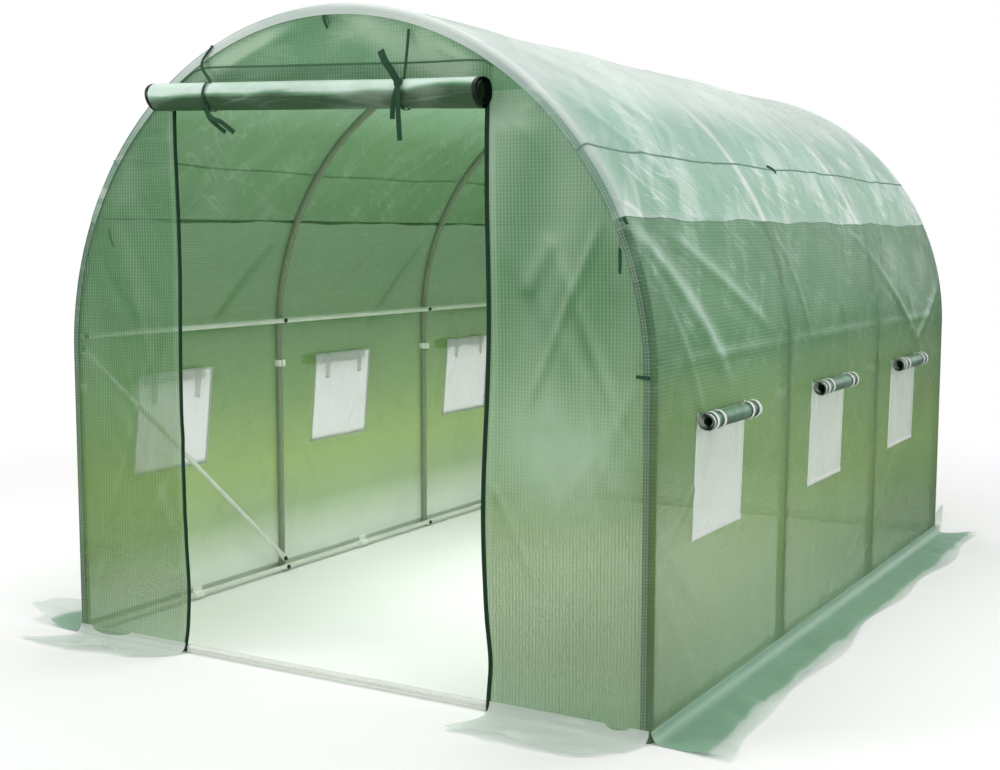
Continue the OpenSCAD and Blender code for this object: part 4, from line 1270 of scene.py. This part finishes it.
def tape_patch(path, across, width, thickness):
    """A flat tape with rounded edges: an oval section, flat as a fourth power, carried along the path
    with its width along the across direction, and drawn to a point at both ends."""
    path = np.asarray(path, float)
    along = np.gradient(path, axis=0)
    along /= np.linalg.norm(along, axis=1)[:, None]
    across = np.broadcast_to(np.asarray(across, float), path.shape)
    across = across - (across * along).sum(1)[:, None] * along
    across = across / np.linalg.norm(across, axis=1)[:, None]
    face = np.cross(along, across)
    angle = np.arange(12) * 2 * np.pi / 12
    wide = np.sign(np.cos(angle)) * np.abs(np.cos(angle)) ** 0.5 * width / 2
    deep = np.sign(np.sin(angle)) * np.abs(np.sin(angle)) ** 0.5 * thickness / 2
    path = np.concatenate([path[:1], path, path[-1:]])
    across = np.concatenate([across[:1], across, across[-1:]])
    face = np.concatenate([face[:1], face, face[-1:]])
    size = np.ones(len(path))
    size[[0, -1]] = 0.0
    section = across[:, None] * wide[None, :, None] + face[:, None] * deep[None, :, None]
    points = path[:, None] + section * size[:, None, None]
    run = np.append(0.0, np.cumsum(np.linalg.norm(np.diff(path, axis=0), axis=1)))
    uv = joined(wide, run[:, None])
    return patch(points, uv, ring=True)


white_strap = woven_tape("white_strap", (240, 243, 240), (224, 229, 224), 0.0018, 0.6, 0.15)
white_tail = woven_tape("white_tail", (244, 246, 244), (232, 236, 232), 0.0018, 0.6, 0.75)
strap_r = flap_r + strap_gap + strap_t / 2
loop_angle = np.linspace(np.pi, 3 * np.pi, 40)
for side_name, side in sides.items():
    strap_patches = []
    tail_patches = []
    for window_index, window_y in enumerate(window_ys):
        for share_index, share in enumerate(strap_shares):
            strap_y = window_y + (share - 0.5) * flap_l
            lean = 0.006 * math.sin(3.0 * window_index + 2.0 * share_index)
            loop_x = flap_axis_x + strap_r * np.cos(loop_angle)
            loop_z = flap_axis_z + strap_r * np.sin(loop_angle)
            loop_y = strap_y + lean * np.sin(loop_angle / 2)
            strap_path = joined(side * loop_x, loop_y, loop_z)
            strap_patches.append(tape_patch(strap_path, (0, 1, 0), strap_w, strap_t))
        for share in (0.2, 0.8):
            tail_l = inner_tail_l * (1 + 0.15 * math.sin(5 * window_index + 9 * share))
            tail_y = window_y + (share - 0.5) * window_w
            tail_drops = ((0.008, 0.002), (0.011, 0.030), (0.012, tail_l))
            tail = smooth_path([(side * (half_w - inward), leaned(tail_y, window_high - drop, side_name),
                                 window_high - drop) for inward, drop in tail_drops], 10)
            tail_patches.append(tape_patch(tail, (0, 1, 0), inner_tail_w, strap_t))
    straps = piece(f"{side_name}_white_straps", strap_patches, white_strap, "strap",
                   f"{side_name}_flap_straps", weld=True)
    tails = piece(f"{side_name}_strap_tails", tail_patches, white_tail, "strap", weld=True)


# Rolled door: the door sheet of the same film, zipped open, rolled up outwards round nothing
# and held under the header by two ties. It lies a little askew, lower at its right end.
door_r = 0.04
door_core_r = 0.0225
door_turns = 8.5
door_roll_l = 1.12
door_slope = math.radians(2.0)
door_low, door_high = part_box("door_roll")
door_middle = (door_low + door_high) / 2
door_axis_y = door_middle.y
door_axis_z = door_low.z + door_r + door_roll_l / 2 * math.sin(door_slope)
door_web_h = 0.085
door_end_shade_w = 0.012
web_inset = 0.006
web_lift = 0.0025
door_line = roll_line(door_r, door_core_r, door_turns, door_web_h)
rolled, door_uv, _ = rolled_sheet(door_line, door_roll_l, 90, 0.035, 0.004, 1.0)
door_x = door_middle.x + rolled[..., 0] * math.cos(door_slope)
door_fall = rolled[..., 0] * math.sin(door_slope)
web_x = door_x[:web_rows]
web_fall = door_fall[:web_rows]
web_reach = panel_r - gable_hem_w - web_inset
web_room = wall_h + np.sqrt(web_reach ** 2 - web_x ** 2) - door_axis_z + web_fall
web_up = rolled[:web_rows, :, 2] * np.clip(web_room / door_web_h, 0.05, 1)
web_z = door_axis_z + web_up - web_fall
web_y = front_film_y - header_wave(web_x, web_z) - web_lift
from_roll = np.clip(web_up / 0.03, 0, 1)
door_y = door_axis_y + rolled[..., 1]
door_y[:web_rows] += from_roll * (web_y - door_y[:web_rows])
door_z = door_axis_z + rolled[..., 2] - door_fall
door_z[:web_rows] = web_z
door_points = joined(door_x, door_y, door_z)
# Painted light on the roll: a painted highlight on top and painted shade below. The line between them
# wanders, and is higher at the right.
wobble = 0.10 * np.sin(door_x * 9.0) + 0.07 * np.sin(door_x * 23.0 + 1.0)
wobble += 0.06 * np.sin(door_x * 61.0) * np.sin(door_x * 37.0 + 2.0) + 0.04 * np.sin(door_x * 127.0)
roll_up = rolled[..., 2] / door_r + wobble
pale_from = 0.05 + 0.4 * np.clip((door_x - 0.15) / 0.3, 0, 1)
door_shade = 0.9 * np.clip((pale_from - roll_up) / 0.18, 0, 1)
door_shade -= 0.8 * np.clip((roll_up - pale_from) / 0.14, 0, 1)
# The web is painted a little paler, with the header's painted sheens on it.
web_shade = -0.1 - folds_height(door_x[top_rows], door_z[top_rows], header_sheens)
# Both ends of the roll are painted nearly black and its inner turns dark: painted shade in its open ends
# and inside it.
door_tones = [(0.0, (100, 152, 112)), (0.86, (100, 152, 112)), (0.95, (104, 158, 116))]
door_look = {"threads": (0.14, 0.08, 0.17), "body": 1.0, "glow": 0.1, "roughness": 0.26,
             "painted_sheen": (0.5, 1.6, 1.7), "creases": 0.3, "pale": (214, 236, 222), "dark": (40, 70, 36),
             "thread": (176, 208, 186), "edge": (door_roll_l / 2 - door_end_shade_w, (14, 26, 18))}
door_film = woven_film("door_film", door_tones, [(0.0, (40, 70, 48)), (1.0, (40, 70, 48))], door_look)
roll_patch = patch(door_points[roll_rows], door_uv[roll_rows], shade=door_shade[roll_rows])
door = piece("rolled_door", [roll_patch], door_film, "roof_film", "door_roll")
top_patch = patch(door_points[top_rows], door_uv[top_rows] + (0, 0.5), flip=True, shade=web_shade)
door_top = piece("door_top_film", [top_patch], panel_film, "side_film")
top_seam_w = 0.005
top_seam_h = 0.0014
top_seam_drop = (1 - (2 * welt_across) ** 2) * top_seam_h + 0.0004
top_seam_points = joined(door_x[0], door_y[0] - top_seam_drop[:, None],
                         door_z[0] + top_seam_w * welt_across[:, None])
top_seam_film = woven_tape("header_seam", (78, 122, 88), (104, 148, 114), 0.0022, 0.5, 0.3)
top_seam = piece("header_seam", [patch(top_seam_points)], top_seam_film, "side_film")


# Door ties: dark green woven tape, sewn in under the hem above the header, carried down over the
# rolled door, round under it and knotted, with loose tails.
strand_w = 0.009
tie_t = 0.0016
tie_gap = 0.001
knot_r = 0.011


def knot_patch(middle, radius, turn):
    """A drawn-up knot: a ball with two crossed swellings, as sines of the two angles, flattened."""
    around = np.arange(20) * 2 * np.pi / 20
    tilt = np.linspace(-np.pi / 2, np.pi / 2, 13)[:, None]
    swell = 1 + 0.16 * np.sin(2 * around + turn) * np.cos(tilt) + 0.12 * np.sin(3 * tilt + around)
    ball = joined(np.cos(tilt) * np.cos(around), 0.75 * np.cos(tilt) * np.sin(around), np.sin(tilt))
    uv = joined(around * radius, tilt * radius)
    return patch(np.array(middle) + radius * swell[..., None] * ball, uv, ring=True)


def roll_axis_z(x):
    """The height of the rolled door's axis at a place along it."""
    return door_axis_z - (x - door_middle.x) * math.tan(door_slope)


def tie_patches(sewn, between, wrap_x, knot_angle, tails, turn):
    """One tie: a front strand from the hem over the roll to the knot, a back strand that comes from
    behind the roll and under it to the knot, and its tails."""
    axis_z = roll_axis_z(wrap_x)
    loop_r = door_r * 1.02 + tie_gap + tie_t / 2
    angle = np.linspace(-np.pi * 0.9, knot_angle, 40)
    loop = joined(wrap_x + 0.004 * np.sin(angle), door_axis_y - loop_r * np.cos(angle),
                  axis_z + loop_r * np.sin(angle))
    knot = np.array([wrap_x, door_axis_y - (loop_r + 0.004) * math.cos(knot_angle),
                     axis_z + (loop_r + 0.004) * math.sin(knot_angle)])
    lead_angle = np.linspace(np.pi * 0.42, knot_angle, 8)
    over = joined(wrap_x, door_axis_y - (loop_r + 0.001) * np.cos(lead_angle),
                  axis_z + (loop_r + 0.001) * np.sin(lead_angle))
    hang = smooth_path([sewn, between, *over], 50)
    made = [tape_patch(hang, (1, 0, 0), strand_w, tie_t), tape_patch(loop, (1, 0, 0), strand_w, tie_t),
            knot_patch(knot, knot_r, turn)]
    for tail_w, *tail in tails:
        path = smooth_path([knot, *tail], 24)
        made.append(tape_patch(path, (1, 0.2, 0.3), tail_w, tie_t))
    return made


gable_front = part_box("front_header")[0].y - 0.003
tie_y = door_axis_y - 0.045
left_tails = [[0.012, (-0.336, tie_y, 1.598), (-0.310, tie_y + 0.006, 1.575),
               (-0.287, tie_y + 0.010, 1.558)],
              [0.013, (-0.330, tie_y, 1.600), (-0.292, tie_y - 0.002, 1.586),
               (-0.250, tie_y + 0.004, 1.556)]]
left_patches = tie_patches((-0.394, gable_front, 1.812), (-0.428, gable_front - 0.01, 1.760),
                           -0.362, -0.75, left_tails, 0.0)
left_tie = piece("left_tie", left_patches, green_tape, "tape", "left_door_tie", weld=True)
right_tails = [[0.020, (0.288, tie_y - 0.008, 1.695), (0.271, tie_y - 0.012, 1.720),
                (0.256, tie_y - 0.010, 1.748)],
               [0.014, (0.296, tie_y - 0.003, 1.635), (0.288, tie_y - 0.002, 1.605),
                (0.285, tie_y, 1.572)],
               [0.014, (0.306, tie_y - 0.006, 1.630), (0.307, tie_y - 0.004, 1.57),
                (0.308, tie_y, 1.516)]]
right_patches = tie_patches((0.281, gable_front, 1.812), (0.286, gable_front - 0.016, 1.755),
                            0.300, 0.55, right_tails, 1.2)
right_tie = piece("right_tie", right_patches, green_tape, "tape", "right_door_tie", weld=True)


# Cover ties: short ends of the same tape that show where the cover is tied to the frame from
# inside: at the crown, on both shoulders, at the right side rail and through the right roof seam.
# Two of them hang behind the front film, and the others come out through the cover.
cover_tie_w = 0.009
cover_tie_t = 0.0014
tie_outside_y = gable_front - 0.001
tie_places = [
    (tie_outside_y, (0.004, 1.868), (0.010, 1.850), (0.016, 1.832)),
    (tie_outside_y, (0.911, 1.318), (0.915, 1.310), (0.920, 1.300)),
    (front_film_y + 0.004, (0.896, 1.262), (0.898, 1.225), (0.897, 1.178)),
    (front_film_y + 0.014, (-0.838, 1.290), (-0.832, 1.262), (-0.822, 1.235)),
    (tie_outside_y, (0.948, 0.927), (0.968, 0.926), (0.985, 0.925)),
]
seam_tie_y = -0.14
seam_tie_steps = ((-0.024, 0.010, 0.002), (0.0, -0.001, 0.005), (0.022, -0.016, 0.003))
cover_tie_paths = []
for tie_at_y, *tie_points in tie_places:
    tie_path = [(x, tie_at_y - 0.004 * (i == 1), z) for i, (x, z) in enumerate(tie_points)]
    tie_side = (0, 0, 1) if abs(tie_points[0][1] - tie_points[-1][1]) < 0.01 else (1, 0, 0)
    cover_tie_paths.append((smooth_path(tie_path, 12), tie_side))
seam_tie_up = wall_h + hoop_r * welt_turn
seam_tie = []
for step_y, step_up, step_lift in seam_tie_steps:
    tie_at = (np.array(seam_tie_y + step_y), np.array(film_out + roof_lap_lift),
              np.array(seam_tie_up + step_up))
    seam_tie.append(cover_point(tie_at[0], cover_out(*tie_at, roof_folds) + step_lift, tie_at[2]))
cover_tie_paths.append((smooth_path(seam_tie, 12), (0, 1, 1)))
cover_tie_patches = [tape_patch(tie_path, tie_side, cover_tie_w, cover_tie_t)
                     for tie_path, tie_side in cover_tie_paths]
cover_ties = piece("cover_ties", cover_tie_patches, green_tape, "tape", weld=True)


# Bring the scene up to date at the end.
bpy.context.view_layer.update()
